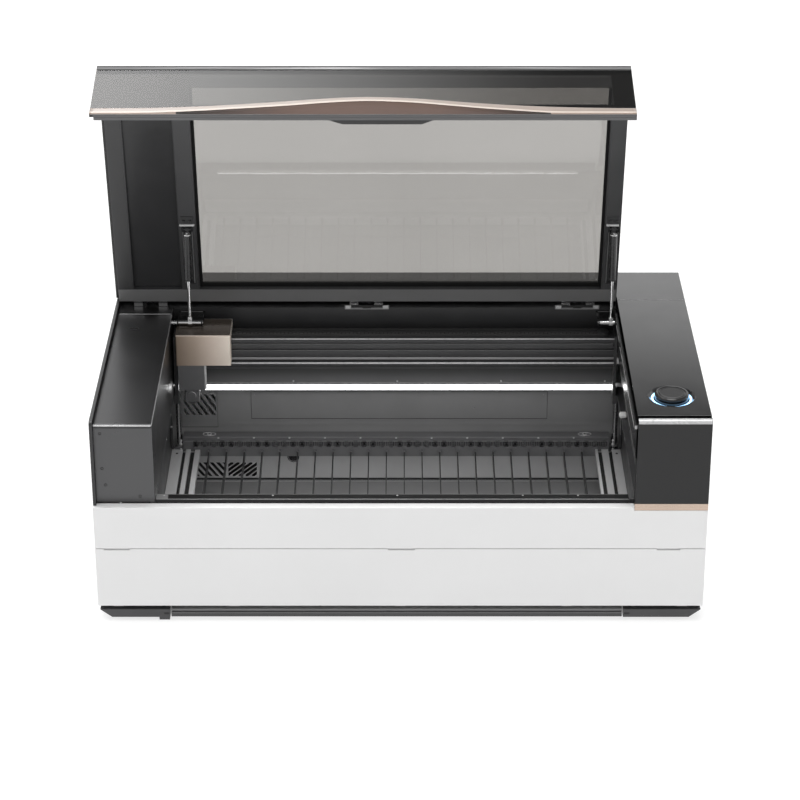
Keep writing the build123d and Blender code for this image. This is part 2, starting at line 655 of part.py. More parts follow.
ROD_L, CYL_L = 114.0, 103.0
CYL_0 = L_OPEN - 10 - CYL_L
with BuildPart() as strut_rods:
    for sx in (-STRUT_X, STRUT_X):
        with BuildSketch(cross(sx - 4, 0)):
            Circle(7)
            with Locations((6.5, 0)):
                Rectangle(9, 10)
        extrude(amount=8)
        with BuildSketch(along(sx, 10)):
            Circle(3.4)
        extrude(amount=ROD_L - 10)
        with BuildSketch(cross(sx - 5, 0)):
            Circle(4.06)
        extrude(amount=10, mode=Mode.SUBTRACT)
save(strut_rods, "strut_rods")

with BuildPart() as strut_cylinders:
    for sx in (-STRUT_X, STRUT_X):
        with BuildSketch(along(sx, CYL_0)):
            Circle(7.5)
        extrude(amount=CYL_L)
        with BuildSketch(along(sx, CYL_0 - 1)):
            Circle(3.48)
        extrude(amount=CYL_L - 1.5, mode=Mode.SUBTRACT)
        with BuildSketch(cross(sx - 4, L_OPEN)):
            Circle(6)
            with Locations((-6, 0)):
                Rectangle(10, 9)
        extrude(amount=8)
        with BuildSketch(cross(sx - 8.3, L_OPEN)):
            Circle(3)
        extrude(amount=16.6)
save(strut_cylinders, "strut_cylinders")

if __name__ == "__main__":
    a_open = math.atan2(U.Z, U.Y)
    a_shut = math.atan2(P1Z - P0Z, P1Y - P0Y)
    print("strut open", round(L_OPEN, 3), "shut", round(L_SHUT, 3), "u", round(U.Y, 6), round(U.Z, 6))
    print("ratio turn", (a_shut % (2 * math.pi) - a_open) / TH, "ratio slide", (L_SHUT - L_OPEN) / 1000 / TH)
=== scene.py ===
import math
import bpy
import bmesh
from mathutils import Matrix, Vector


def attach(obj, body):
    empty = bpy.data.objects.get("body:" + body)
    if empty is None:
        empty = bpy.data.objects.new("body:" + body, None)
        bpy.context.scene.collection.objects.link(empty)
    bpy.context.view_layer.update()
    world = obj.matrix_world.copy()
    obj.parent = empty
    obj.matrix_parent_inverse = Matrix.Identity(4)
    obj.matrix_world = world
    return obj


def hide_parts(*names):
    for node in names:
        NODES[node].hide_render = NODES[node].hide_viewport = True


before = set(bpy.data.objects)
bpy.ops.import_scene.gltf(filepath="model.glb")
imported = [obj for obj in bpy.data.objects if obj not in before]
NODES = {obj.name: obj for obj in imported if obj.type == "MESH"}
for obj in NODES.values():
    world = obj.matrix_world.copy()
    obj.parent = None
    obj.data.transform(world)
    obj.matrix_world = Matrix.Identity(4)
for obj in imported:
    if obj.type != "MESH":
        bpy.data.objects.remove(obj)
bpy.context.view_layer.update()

YC = 0.372                      # front face of the body is at y = -YC


def yy(v):
    """Millimetres behind the front face, to metres in the row frame."""
    return v / 1000.0 - YC


# ------------------------------------------------------------------ materials
def new_mat(name):
    m = bpy.data.materials.new(name)
    m.use_nodes = True
    nt = m.node_tree
    nt.nodes.clear()
    out = nt.nodes.new("ShaderNodeOutputMaterial")
    return m, nt, out


def link(nt, a, b):
    nt.links.new(a, b)


def coords(nt, scale=(1, 1, 1)):
    tc = nt.nodes.new("ShaderNodeTexCoord")
    mp = nt.nodes.new("ShaderNodeMapping")
    mp.inputs["Scale"].default_value = scale
    link(nt, tc.outputs["Object"], mp.inputs["Vector"])
    return mp.outputs["Vector"]


def noise(nt, vec, scale, detail=2.0, rough=0.5, dist=0.0):
    n = nt.nodes.new("ShaderNodeTexNoise")
    n.inputs["Scale"].default_value = scale
    n.inputs["Detail"].default_value = detail
    n.inputs["Roughness"].default_value = rough
    n.inputs["Distortion"].default_value = dist
    link(nt, vec, n.inputs["Vector"])
    return n.outputs["Fac"]


def ramp(nt, fac, lo, hi, p0=0.3, p1=0.7):
    r = nt.nodes.new("ShaderNodeValToRGB")
    r.color_ramp.elements[0].position = p0
    r.color_ramp.elements[1].position = p1
    r.color_ramp.elements[0].color = (*lo, 1)
    r.color_ramp.elements[1].color = (*hi, 1)
    link(nt, fac, r.inputs["Fac"])
    return r.outputs["Color"]


def remap(nt, fac, lo, hi):
    r = nt.nodes.new("ShaderNodeMapRange")
    r.inputs["From Min"].default_value = 0.3
    r.inputs["From Max"].default_value = 0.7
    r.inputs["To Min"].default_value = lo
    r.inputs["To Max"].default_value = hi
    link(nt, fac, r.inputs["Value"])
    return r.outputs["Result"]


def bump(nt, height, dist, strength=1.0):
    b = nt.nodes.new("ShaderNodeBump")
    b.inputs["Strength"].default_value = strength
    b.inputs["Distance"].default_value = dist
    link(nt, height, b.inputs["Height"])
    return b.outputs["Normal"]


def shade(c, k):
    return tuple(min(1.0, x * k) for x in c[:3])


def surface(name, base, rough, metal=0.0, var=0.08, cloud=9.0, grain=900.0, grain_depth=0.00002, rvar=0.06,
            brushed=None, coat=0.0, spec=0.5, ior=1.5, tint=None):
    """Painted, moulded or anodised surface: slow colour clouding, roughness variation and fine grain."""
    m, nt, out = new_mat(name)
    bs = nt.nodes.new("ShaderNodeBsdfPrincipled")
    link(nt, bs.outputs["BSDF"], out.inputs["Surface"])
    v = coords(nt)
    c0 = shade(base, 1 - var)
    c1 = shade(tint or base, 1 + var)
    link(nt, ramp(nt, noise(nt, v, cloud, 3.0, 0.55), c0, c1), bs.inputs["Base Color"])
    if brushed:
        sv = coords(nt, brushed)
        n = noise(nt, sv, 60.0, 4.0, 0.65)
        link(nt, remap(nt, n, max(0.02, rough - rvar), rough + rvar), bs.inputs["Roughness"])
        link(nt, bump(nt, n, grain_depth), bs.inputs["Normal"])
    else:
        n = noise(nt, v, cloud * 4.0, 3.0, 0.6)
        link(nt, remap(nt, n, max(0.02, rough - rvar), rough + rvar), bs.inputs["Roughness"])
        if grain_depth > 0:
            link(nt, bump(nt, noise(nt, v, grain, 2.0, 0.5), grain_depth), bs.inputs["Normal"])
    bs.inputs["Metallic"].default_value = metal
    bs.inputs["Coat Weight"].default_value = coat
    bs.inputs["Coat Roughness"].default_value = 0.03
    bs.inputs["Specular IOR Level"].default_value = spec
    bs.inputs["IOR"].default_value = ior
    return m


def glowing(name, base, glow, strength, var=0.05, cloud=30.0):
    m, nt, out = new_mat(name)
    bs = nt.nodes.new("ShaderNodeBsdfPrincipled")
    link(nt, bs.outputs["BSDF"], out.inputs["Surface"])
    v = coords(nt)
    link(nt, ramp(nt, noise(nt, v, cloud), shade(base, 1 - var), base), bs.inputs["Base Color"])
    link(nt, ramp(nt, noise(nt, v, cloud), shade(glow, 1 - var), glow), bs.inputs["Emission Color"])
    bs.inputs["Emission Strength"].default_value = strength
    bs.inputs["Roughness"].default_value = 0.35
    return m


def smoked(name, tint, rough=0.02):
    """Tinted glass sheet: a tinted see-through under a clean gloss that grows towards grazing angles."""
    m, nt, out = new_mat(name)
    tr = nt.nodes.new("ShaderNodeBsdfTransparent")
    gl = nt.nodes.new("ShaderNodeBsdfGlossy")
    mx = nt.nodes.new("ShaderNodeMixShader")
    lw = nt.nodes.new("ShaderNodeLayerWeight")
    lw.inputs["Blend"].default_value = 0.5
    pw = nt.nodes.new("ShaderNodeMath")
    pw.operation = "POWER"
    pw.inputs[1].default_value = 5.0
    sc = nt.nodes.new("ShaderNodeMath")
    sc.operation = "MULTIPLY_ADD"
    sc.inputs[1].default_value = 0.96
    sc.inputs[2].default_value = 0.04
    link(nt, lw.outputs["Facing"], pw.inputs[0])
    link(nt, pw.outputs["Value"], sc.inputs[0])
    v = coords(nt)
    link(nt, ramp(nt, noise(nt, v, 3.0, 2.0), shade(tint, 0.985), shade(tint, 1.015)), tr.inputs["Color"])
    gl.inputs["Color"].default_value = (1, 1, 1, 1)
    link(nt, remap(nt, noise(nt, v, 14.0, 2.0), rough * 0.7, rough * 1.3), gl.inputs["Roughness"])
    link(nt, sc.outputs["Value"], mx.inputs["Fac"])
    link(nt, tr.outputs["BSDF"], mx.inputs[1])
    link(nt, gl.outputs["BSDF"], mx.inputs[2])
    link(nt, mx.outputs["Shader"], out.inputs["Surface"])
    return m


def graded(name, stops, rough, metal=0.0, spec=0.5, cloud=14.0, brushed=(1, 40, 40), axis="X"):
    """Colour ramp along the part's own X axis (or the axis given) that paints light and shade onto a surface; stops are
    (x in mm, colour).
    """
    m, nt, out = new_mat(name)
    bs = nt.nodes.new("ShaderNodeBsdfPrincipled")
    link(nt, bs.outputs["BSDF"], out.inputs["Surface"])
    tc = nt.nodes.new("ShaderNodeTexCoord")
    sp = nt.nodes.new("ShaderNodeSeparateXYZ")
    link(nt, tc.outputs["Object"], sp.inputs["Vector"])
    x0, x1 = stops[0][0] / 1000.0, stops[-1][0] / 1000.0
    mr = nt.nodes.new("ShaderNodeMapRange")
    mr.inputs["From Min"].default_value = x0
    mr.inputs["From Max"].default_value = x1
    link(nt, sp.outputs[axis], mr.inputs["Value"])
    cr = nt.nodes.new("ShaderNodeValToRGB")
    e = cr.color_ramp.elements
    while len(e) < len(stops):
        e.new(0.5)
    for i, (x, c) in enumerate(stops):
        e[i].position = (x / 1000.0 - x0) / (x1 - x0)
        e[i].color = (c[0], c[1], c[2], 1.0)
    link(nt, mr.outputs["Result"], cr.inputs["Fac"])
    v = coords(nt)
    mx = nt.nodes.new("ShaderNodeMix")
    mx.data_type = "RGBA"
    mx.blend_type = "MULTIPLY"
    mx.inputs["Factor"].default_value = 1.0
    link(nt, cr.outputs["Color"], mx.inputs["A"])
    link(nt, ramp(nt, noise(nt, v, cloud, 3.0, 0.55), (0.95, 0.95, 0.95), (1.04, 1.04, 1.04)), mx.inputs["B"])
    link(nt, mx.outputs["Result"], bs.inputs["Base Color"])
    sv = coords(nt, brushed)
    n = noise(nt, sv, 60.0, 4.0, 0.65)
    link(nt, remap(nt, n, max(0.02, rough - 0.05), rough + 0.05), bs.inputs["Roughness"])
    link(nt, bump(nt, n, 0.000003), bs.inputs["Normal"])
    bs.inputs["Metallic"].default_value = metal
    bs.inputs["Specular IOR Level"].default_value = spec
    return m


# the same painted light and shade ramp, along the part's own Z axis
def graded_z(name, stops, rough, metal=0.0, spec=0.5):
    return graded(name, stops, rough, metal, spec, axis="Z")


M = {}
M["white"] = surface("white_powder_coat", (0.80, 0.80, 0.80), 0.42, var=0.012, cloud=5, grain=1400, grain_depth=0.00001)
M["base"] = surface("base_powder_coat", (0.055, 0.055, 0.057), 0.45, var=0.12, grain=900, grain_depth=0.00001)
M["rubber"] = surface("moulded_rubber", (0.018, 0.018, 0.018), 0.75, var=0.2, grain=600, grain_depth=0.00004)
M["tray"] = surface("tray_coat", (0.27, 0.27, 0.272), 0.40, metal=0.2, var=0.04, brushed=(1, 30, 30), grain_depth=0.000003)
M["graphite"] = surface("graphite_satin", (0.090, 0.090, 0.092), 0.30, metal=0.85, var=0.03, cloud=3, rvar=0.03, grain_depth=0.0)
M["cheek"] = surface("graphite_edge", (0.022, 0.022, 0.023), 0.34, var=0.05, cloud=4, rvar=0.03, grain_depth=0.0)
M["gloss"] = surface("gloss_black", (0.006, 0.006, 0.0065), 0.08, var=0.1, cloud=4, rvar=0.02, grain_depth=0.0, spec=0.42)
M["bezel"] = surface("bezel_black", (0.012, 0.012, 0.013), 0.16, var=0.1, rvar=0.03, grain_depth=0.0)
M["rose"] = surface("rose_gold_anodised", (0.50, 0.395, 0.325), 0.26, metal=1.0, var=0.04, cloud=8, brushed=(1, 40, 40), grain_depth=0.000004)
# painted reflection: the head cover runs from dark brown at its left end to pale tan at its right, in place of the
# reflection across its front
M["champagne"] = graded("champagne_painted_reflection", [(-468, (0.34, 0.26, 0.20)), (-430, (0.52, 0.42, 0.34)), (-390, (0.80, 0.68, 0.585)), (-354, (1.0, 0.90, 0.79))], 0.40, metal=0.55, spec=0.5)
M["sill"] = surface("sill_anodised", (0.019, 0.019, 0.020), 0.40, metal=0.6, var=0.05, brushed=(1, 40, 40), grain_depth=0.000004)
M["chamber"] = surface("chamber_coat", (0.19, 0.19, 0.192), 0.46, var=0.04, cloud=5, grain=1000, grain_depth=0.000003)
M["chamber_dark"] = surface("chamber_dark_coat", (0.030, 0.030, 0.031), 0.40, var=0.08, cloud=5, grain=1000, grain_depth=0.000003)
# painted shadow: the light hood turns from mid grey to near black upwards, where the gantry beam shades it
M["hood"] = graded_z("hood_painted_shadow", [(246, (0.12, 0.12, 0.122)), (266, (0.12, 0.12, 0.122)), (284, (0.060, 0.060, 0.061)), (300, (0.024, 0.024, 0.025))], 0.40, metal=0.2)
M["beam"] = surface("beam_anodised", (0.095, 0.095, 0.097), 0.34, metal=0.6, var=0.06, brushed=(1, 40, 40), grain_depth=0.000004)
M["rail"] = surface("rail_anodised", (0.10, 0.10, 0.105), 0.35, metal=0.6, var=0.08, brushed=(40, 1, 40), grain_depth=0.000006)
M["steel"] = surface("ground_steel", (0.62, 0.62, 0.62), 0.24, metal=1.0, var=0.05, brushed=(1, 60, 60), grain_depth=0.000004)
M["rod"] = surface("polished_rod", (0.70, 0.70, 0.70), 0.14, metal=1.0, var=0.04, rvar=0.03, cloud=60, grain_depth=0.0)
M["black_metal"] = surface("satin_black_metal", (0.016, 0.016, 0.017), 0.26, metal=0.0, var=0.1, cloud=40, grain_depth=0.0)
M["carriage"] = surface("carriage_grey", (0.22, 0.22, 0.225), 0.36, metal=0.7, var=0.05, cloud=20, grain=1500, grain_depth=0.000008)
M["bed"] = surface("bed_anodised", (0.70, 0.70, 0.705), 0.36, metal=0.45, var=0.04, brushed=(40, 1, 40), grain_depth=0.000003)
M["comb"] = surface("comb_anodised", (0.17, 0.17, 0.174), 0.38, metal=0.4, var=0.05, brushed=(1, 40, 40), grain_depth=0.000003)
M["slat"] = surface("slat_anodised", (0.028, 0.028, 0.029), 0.40, metal=0.3, var=0.1, brushed=(40, 1, 40), grain_depth=0.000008)
M["lid_rail"] = surface("lid_rail_anodised", (0.072, 0.072, 0.074), 0.34, metal=0.35, var=0.05, brushed=(1, 40, 40), grain_depth=0.000004)
M["shell"] = surface("lid_shell_satin", (0.115, 0.115, 0.117), 0.35, metal=0.2, var=0.05, cloud=4, grain_depth=0.0)
M["mask"] = surface("printed_border", (0.012, 0.012, 0.012), 0.20, var=0.05, cloud=3, rvar=0.015, grain_depth=0.0)
M["gasket"] = surface("gasket_rubber", (0.006, 0.006, 0.006), 0.6, var=0.1, cloud=20, grain_depth=0.0, spec=0.2)
M["glass"] = smoked("smoked_glass", (0.585, 0.577, 0.564))
M["front_glass"] = smoked("smoked_front_glass", (0.50, 0.492, 0.482))
M["tube"] = smoked("clear_tube", (0.85, 0.9, 0.92), 0.05)
M["supply"] = surface("supply_aluminium", (0.55, 0.55, 0.55), 0.35, metal=0.9, var=0.06, brushed=(1, 40, 40))
M["plastic"] = surface("moulded_black", (0.03, 0.03, 0.03), 0.5, var=0.15, grain=900, grain_depth=0.00002)
M["led"] = glowing("led_diffuser", (0.9, 0.9, 0.9), (1.0, 1.0, 1.0), 5.0)
M["ring"] = glowing("button_ring_glow", (0.5, 0.7, 0.9), (0.30, 0.62, 1.0), 3.0)
M["screw"] = surface("dark_screw", (0.10, 0.10, 0.10), 0.35, metal=0.9, var=0.1, cloud=200)
M["sensor"] = surface("sensor_white", (0.78, 0.78, 0.77), 0.4, var=0.03, cloud=60)
M["wave_band"] = surface("wave_band_anodised", (0.36, 0.297, 0.257), 0.22, metal=0.0, var=0.03, cloud=8, brushed=(1, 40, 40), grain_depth=0.000002, spec=1.0)
# painted highlight: a lighter copy of the wave band's colour, laid on the trim's lower edge and the head's front edges
M["wave_edge"] = surface("wave_edge_painted_highlight", (0.62, 0.53, 0.46), 0.22, metal=0.0, var=0.02, cloud=8, rvar=0.03, grain_depth=0.0, spec=0.8)
# painted shade: the recess under the wave trim is near black at both ends and lighter through the middle
M["wave_recess"] = graded("wave_recess_painted_shade", [(-436, (0.012, 0.009, 0.007)), (-400, (0.020, 0.013, 0.010)), (-300, (0.055, 0.032, 0.024)), (-200, (0.095, 0.053, 0.038)), (60, (0.095, 0.053, 0.038)), (180, (0.060, 0.035, 0.026)), (292, (0.012, 0.009, 0.007))], 0.40, metal=0.0, spec=0.25)
# satin silver for small metal parts; also laid as thin strips on edges and seams, where it paints a highlight
M["silver"] = surface("satin_silver_and_painted_highlight", (0.52, 0.52, 0.523), 0.28, metal=0.15, var=0.03, cloud=20, rvar=0.04, grain_depth=0.0)
# satin grey for small parts; also laid as thin lines on edges, seams and faces, where it paints a softer highlight
M["edge_mid"] = surface("satin_grey_and_painted_sheen", (0.26, 0.26, 0.262), 0.32, metal=0.25, var=0.03, cloud=20, rvar=0.04, grain_depth=0.0)
M["dark_groove"] = surface("dark_groove", (0.012, 0.012, 0.012), 0.5, var=0.15, cloud=40, grain_depth=0.0)
M["liner_dark"] = surface("lid_liner_gloss", (0.030, 0.030, 0.031), 0.22, var=0.1, cloud=5, rvar=0.04, grain_depth=0.0)
M["liner_mid"] = surface("lid_liner_satin", (0.20, 0.20, 0.20), 0.34, metal=0.3, var=0.05, cloud=4, brushed=(1, 40, 40), grain_depth=0.000003)
M["strip_lit"] = surface("reflector_strip", (0.62, 0.62, 0.62), 0.35, var=0.04, cloud=12, grain_depth=0.0)
M["lens"] = surface("lens_glass", (0.05, 0.05, 0.06), 0.06, var=0.1, cloud=50, rvar=0.02, grain_depth=0.0, coat=0.6)
# painted shade: a darker copy of the wave band's colour on the trim's lower faces outside the recess
M["wave_low"] = surface("wave_low_painted_shade", (0.25, 0.185, 0.145), 0.34, metal=0.0, var=0.03, cloud=8, brushed=(1, 40, 40), grain_depth=0.000002, spec=0.4)
M["lid_edge"] = surface("lid_edge_painted_highlight", (0.20, 0.20, 0.201), 0.20, metal=0.0, var=0.03, cloud=8, rvar=0.03, grain_depth=0.0, spec=0.8)
M["lid_edge_dark"] = surface("lid_edge_dark", (0.075, 0.075, 0.075), 0.30, metal=0.0, var=0.03, cloud=8, rvar=0.03, grain_depth=0.0, spec=0.2)
M["wall_black"] = surface("rim_gloss_black", (0.010, 0.010, 0.0105), 0.24, var=0.1, cloud=5, rvar=0.04, grain_depth=0.0)
# painted shade: a darker copy of the head's colour, laid as a thin sheet over the top of the head
M["head_top"] = surface("head_top_painted_shade", (0.105, 0.086, 0.070), 0.30, metal=0.6, var=0.04, cloud=10, brushed=(1, 40, 40), grain_depth=0.000003)
M["liner_left"] = surface("lid_liner_left", (0.052, 0.052, 0.053), 0.34, metal=0.2, var=0.05, cloud=4, grain_depth=0.0)
M["liner_right"] = surface("lid_liner_right", (0.060, 0.060, 0.061), 0.34, metal=0.2, var=0.05, cloud=4, grain_depth=0.0)
M["led_front"] = glowing("front_led_diffuser", (0.9, 0.9, 0.9), (1.0, 1.0, 1.0), 6.0)
M["mount_bar"] = surface("mount_bar_zinc", (0.60, 0.60, 0.60), 0.35, metal=0.1, var=0.04, cloud=30, grain_depth=0.0)
M["hinge_white"] = surface("hinge_knuckle_white", (0.62, 0.62, 0.62), 0.42, var=0.02, cloud=6, grain_depth=0.0)
# painted light: the rear wall is lighter over its lower part, in place of the light that the bed keeps from it
M["chamber_low"] = graded_z("rear_wall_painted_light", [(20, (0.34, 0.34, 0.342)), (130, (0.31, 0.31, 0.312)), (165, (0.17, 0.17, 0.171)), (245, (0.20, 0.20, 0.201))], 0.46)

M["bar_coat"] = surface("pull_bar_coat", (0.060, 0.060, 0.061), 0.36, metal=0.2, var=0.04, cloud=5, grain_depth=0.0)
M["base_top"] = surface("base_top_coat", (0.05, 0.05, 0.05), 0.5, var=0.05, cloud=5, grain_depth=0.0)

M["web_low"] = surface("right_wall_coat", (0.065, 0.065, 0.066), 0.40, var=0.06, cloud=5, grain_depth=0.0)
M["lip_dark"] = surface("finger_lip_shade", (0.022, 0.022, 0.0225), 0.40, var=0.05, cloud=5, grain_depth=0.0)

USE = {
    "white": ["front_upper_panel", "front_door", "side_panel_left", "side_panel_right", "rear_lower_panel", "door_hinge_rod"],
    "base": ["base_rails"], "rubber": ["feet", "x_belt"], "tray": ["debris_tray"],
    "graphite": ["left_cover", "rear_upper_panel"], "cheek": ["left_cheek"],
    "gloss": ["right_top_panel", "right_front_panel", "right_side_panel", "rear_top_cover", "start_button"],
    "bezel": ["button_housing"], "ring": ["button_ring"], "rose": ["right_trim_strip", "lid_trim"],
    "champagne": ["head_cover"], "sill": ["front_sill"],
    "chamber": ["chamber_front_wall"], "chamber_low": ["chamber_rear_wall"], "wall_black": ["right_inner_wall"],
    "chamber_dark": ["tube_wall", "hinge_rail", "chamber_side_walls"],
    "hood": ["light_hood"], "led": ["light_diffuser"], "beam": ["gantry_beam", "gantry_ends", "x_guide_rail"], "rail": ["y_rails"],
    "steel": ["lift_posts"],
    "rod": ["strut_pins", "strut_rods", "lid_hinge_pins"], "screw": ["panel_screws"],
    "black_metal": ["lid_hinge_leaves", "strut_cylinders"], "carriage": ["head_carriage", "focus_block"],
    "bed": ["bed_frame"], "comb": ["bed_rear_comb"], "slat": ["bed_slats"], "gasket": ["lid_gasket"],
    "lid_rail": ["lid_frame"], "shell": ["lid_front_shell"], "glass": ["lid_top_glass"],
    "front_glass": ["lid_front_glass"], "mask": ["lid_mask"], "tube": ["laser_tube"], "supply": ["power_supply"],
    "plastic": ["exhaust_spigot", "fan_rotor", "power_inlet", "power_switch"],
}
for key, names in USE.items():
    for n in names:
        o = NODES[n]
        o.data.materials.clear()
        o.data.materials.append(M[key])
missing = set(NODES) - {n for v in USE.values() for n in v}
if missing:
    raise SystemExit("no material for " + ", ".join(sorted(missing)))

# ------------------------------------------------------------------ mesh helpers (millimetres, y from the front face)
HY, HZ = 578.0, 440.0
CT, ST = math.cos(math.radians(77)), math.sin(math.radians(77))


def world_pt(p):
    return Vector((p[0] / 1000.0, p[1] / 1000.0 - YC, p[2] / 1000.0))


def lid_pt(p):
    """Closed-lid coordinates to the raised lid."""
    dyv, dzv = p[1] - HY, p[2] - HZ
    return Vector((p[0] / 1000.0, (HY + dyv * CT + dzv * ST) / 1000.0 - YC, (HZ - dyv * ST + dzv * CT) / 1000.0))


class Piece:
    """Collects shaped solids into one mesh, then rides it on a body."""

    def __init__(self, name, lid=False):
        self.name, self.bm, self.mats = name, bmesh.new(), []
        self.at = lid_pt if lid else world_pt

    def slot(self, mat):
        m = M[mat]
        if m not in self.mats:
            self.mats.append(m)
        return self.mats.index(m)

    def add(self, verts, faces, mat, smooth=False):
        i = self.slot(mat)
        vs = [self.bm.verts.new(self.at(v)) for v in verts]
        for f in faces:
            fc = self.bm.faces.new([vs[k] for k in f])
            fc.material_index = i
            fc.smooth = smooth
        return vs

    def block(self, x0, x1, y0, y1, z0, z1, mat, c=0.25):
        """A block with every edge along X chamfered, and its ends drawn in."""
        c = min(c, abs(y1 - y0) * 0.4, abs(z1 - z0) * 0.4, abs(x1 - x0) * 0.4)
        prof = [(y0 + c, z0), (y1 - c, z0), (y1, z0 + c), (y1, z1 - c), (y1 - c, z1), (y0 + c, z1), (y0, z1 - c),
                (y0, z0 + c)]
        cy, cz = (y0 + y1) / 2, (z0 + z1) / 2
        ky, kz = 1 - 2 * c / abs(y1 - y0), 1 - 2 * c / abs(z1 - z0)
        inner = [(cy + (a - cy) * ky, cz + (b - cz) * kz) for a, b in prof]
        rings = [(x0, inner), (x0 + c, prof), (x1 - c, prof), (x1, inner)]
        verts, faces, n = [], [], 8
        for x, ring in rings:
            verts += [(x, a, b) for a, b in ring]
        for r in range(3):
            for k in range(n):
                faces.append((r * n + k, r * n + (k + 1) % n, (r + 1) * n + (k + 1) % n, (r + 1) * n + k))
        faces.append(tuple(reversed(range(n))))
        faces.append(tuple(range(3 * n, 4 * n)))
        self.add(verts, faces, mat)

    def prism(self, x0, x1, prof, mat, smooth=False):
        """A (y, z) outline drawn out along X."""
        n = len(prof)
        verts = [(x0, a, b) for a, b in prof] + [(x1, a, b) for a, b in prof]
        faces = [(k, (k + 1) % n, n + (k + 1) % n, n + k) for k in range(n)]
        faces += [tuple(reversed(range(n))), tuple(range(n, 2 * n))]
        self.add(verts, faces, mat, smooth)

    def turned(self, c, axis, prof, mat, seg=32, smooth=True):
        """A turned solid: (radius, height) outline about an axis through c."""
        ax = {"X": (1, 0, 0), "Y": (0, 1, 0), "Z": (0, 0, 1)}[axis] if isinstance(axis, str) else axis
        ax = Vector(ax).normalized()
        u = ax.orthogonal().normalized()
        w = ax.cross(u)
        c = Vector(c)
        verts, faces = [], []
        for r, h in prof:
            for k in range(seg):
                t = 2 * math.pi * k / seg
                verts.append(tuple(c + ax * h + (u * math.cos(t) + w * math.sin(t)) * max(r, 0.02)))
        n = len(prof)
        for j in range(n - 1):
            for k in range(seg):
                faces.append((j * seg + k, j * seg + (k + 1) % seg, (j + 1) * seg + (k + 1) % seg, (j + 1) * seg + k))
        faces.append(tuple(reversed(range(seg))))
        faces.append(tuple(range((n - 1) * seg, n * seg)))
        self.add(verts, faces, mat, smooth)

    def loop(self, centre, axis, rx, rz, r, mat, seg=40, tube=10, arc=(0, 360)):
        """A round wire bent to an ellipse in the X-Z plane (axis Y) or the X-Y plane (axis Z)."""
        verts, faces = [], []
        full = arc[1] - arc[0] >= 360
        steps = seg if full else seg + 1
        for k in range(steps):
            t = math.radians(arc[0] + (arc[1] - arc[0]) * k / seg)
            d = (math.cos(t), math.sin(t))
            for j in range(tube):
                q = 2 * math.pi * j / tube
                a, b = r * math.cos(q), r * math.sin(q)
                px, pz = (rx + a) * d[0], (rz + a) * d[1]
                verts.append((centre[0] + px, centre[1] + b, centre[2] + pz) if axis == "Y"
                             else (centre[0] + px, centre[1] + pz, centre[2] + b))
        for k in range(steps if full else steps - 1):
            for j in range(tube):
                a0, a1 = k * tube, ((k + 1) % steps) * tube
                faces.append((a0 + j, a0 + (j + 1) % tube, a1 + (j + 1) % tube, a1 + j))
        if not full:
            faces.append(tuple(reversed(range(tube))))
            faces.append(tuple(range((steps - 1) * tube, steps * tube)))
        self.add(verts, faces, mat, True)

    def done(self, body, replaces=()):
        bmesh.ops.recalc_face_normals(self.bm, faces=self.bm.faces[:])
        me = bpy.data.meshes.new(self.name)
        self.bm.to_mesh(me)
        self.bm.free()
        for m in self.mats:
            me.materials.append(m)
        o = bpy.data.objects.new(self.name, me)
        bpy.context.scene.collection.objects.link(o)
        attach(o, body)
        if replaces:
            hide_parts(*replaces)
        return o


def smooth_curve(pts, x):
    """Cosine-free Catmull-Rom height at x through the given (x, z) points."""
    if x <= pts[0][0]:
        return pts[0][1]
    if x >= pts[-1][0]:
        return pts[-1][1]
    for i in range(len(pts) - 1):
        if pts[i][0] <= x <= pts[i + 1][0]:
            break
    def slope(j):
        a, b = max(j - 1, 0), min(j + 1, len(pts) - 1)
        return (pts[b][1] - pts[a][1]) / (pts[b][0] - pts[a][0])
    h = pts[i + 1][0] - pts[i][0]
    t = (x - pts[i][0]) / h
    m0, m1 = slope(i) * h, slope(i + 1) * h
    return ((2 * t ** 3 - 3 * t ** 2 + 1) * pts[i][1] + (t ** 3 - 2 * t ** 2 + t) * m0
            + (-2 * t ** 3 + 3 * t ** 2) * pts[i + 1][1] + (t ** 3 - t ** 2) * m1)


# ------------------------------------------------------------------ wave trim on the lid's lower front edge
WAVE = [(-600, 290.5), (-500, 291.5), (-433, 294.5), (-382, 298), (-308, 305), (-212, 316.5), (-135, 326), (-62, 330.5), (20, 326),
        (76, 319), (153, 308), (230, 300), (307, 294.5), (384, 291.5), (456, 290.5)]
BAND = [(-600, 272.6), (-500, 273.0), (-433, 276.8), (-382, 281), (-308, 288.5), (-212, 299.5), (-135, 310), (-62, 315),
        (20, 310), (76, 302), (153, 290), (230, 280.5), (290, 274), (384, 273), (456, 272.6)]


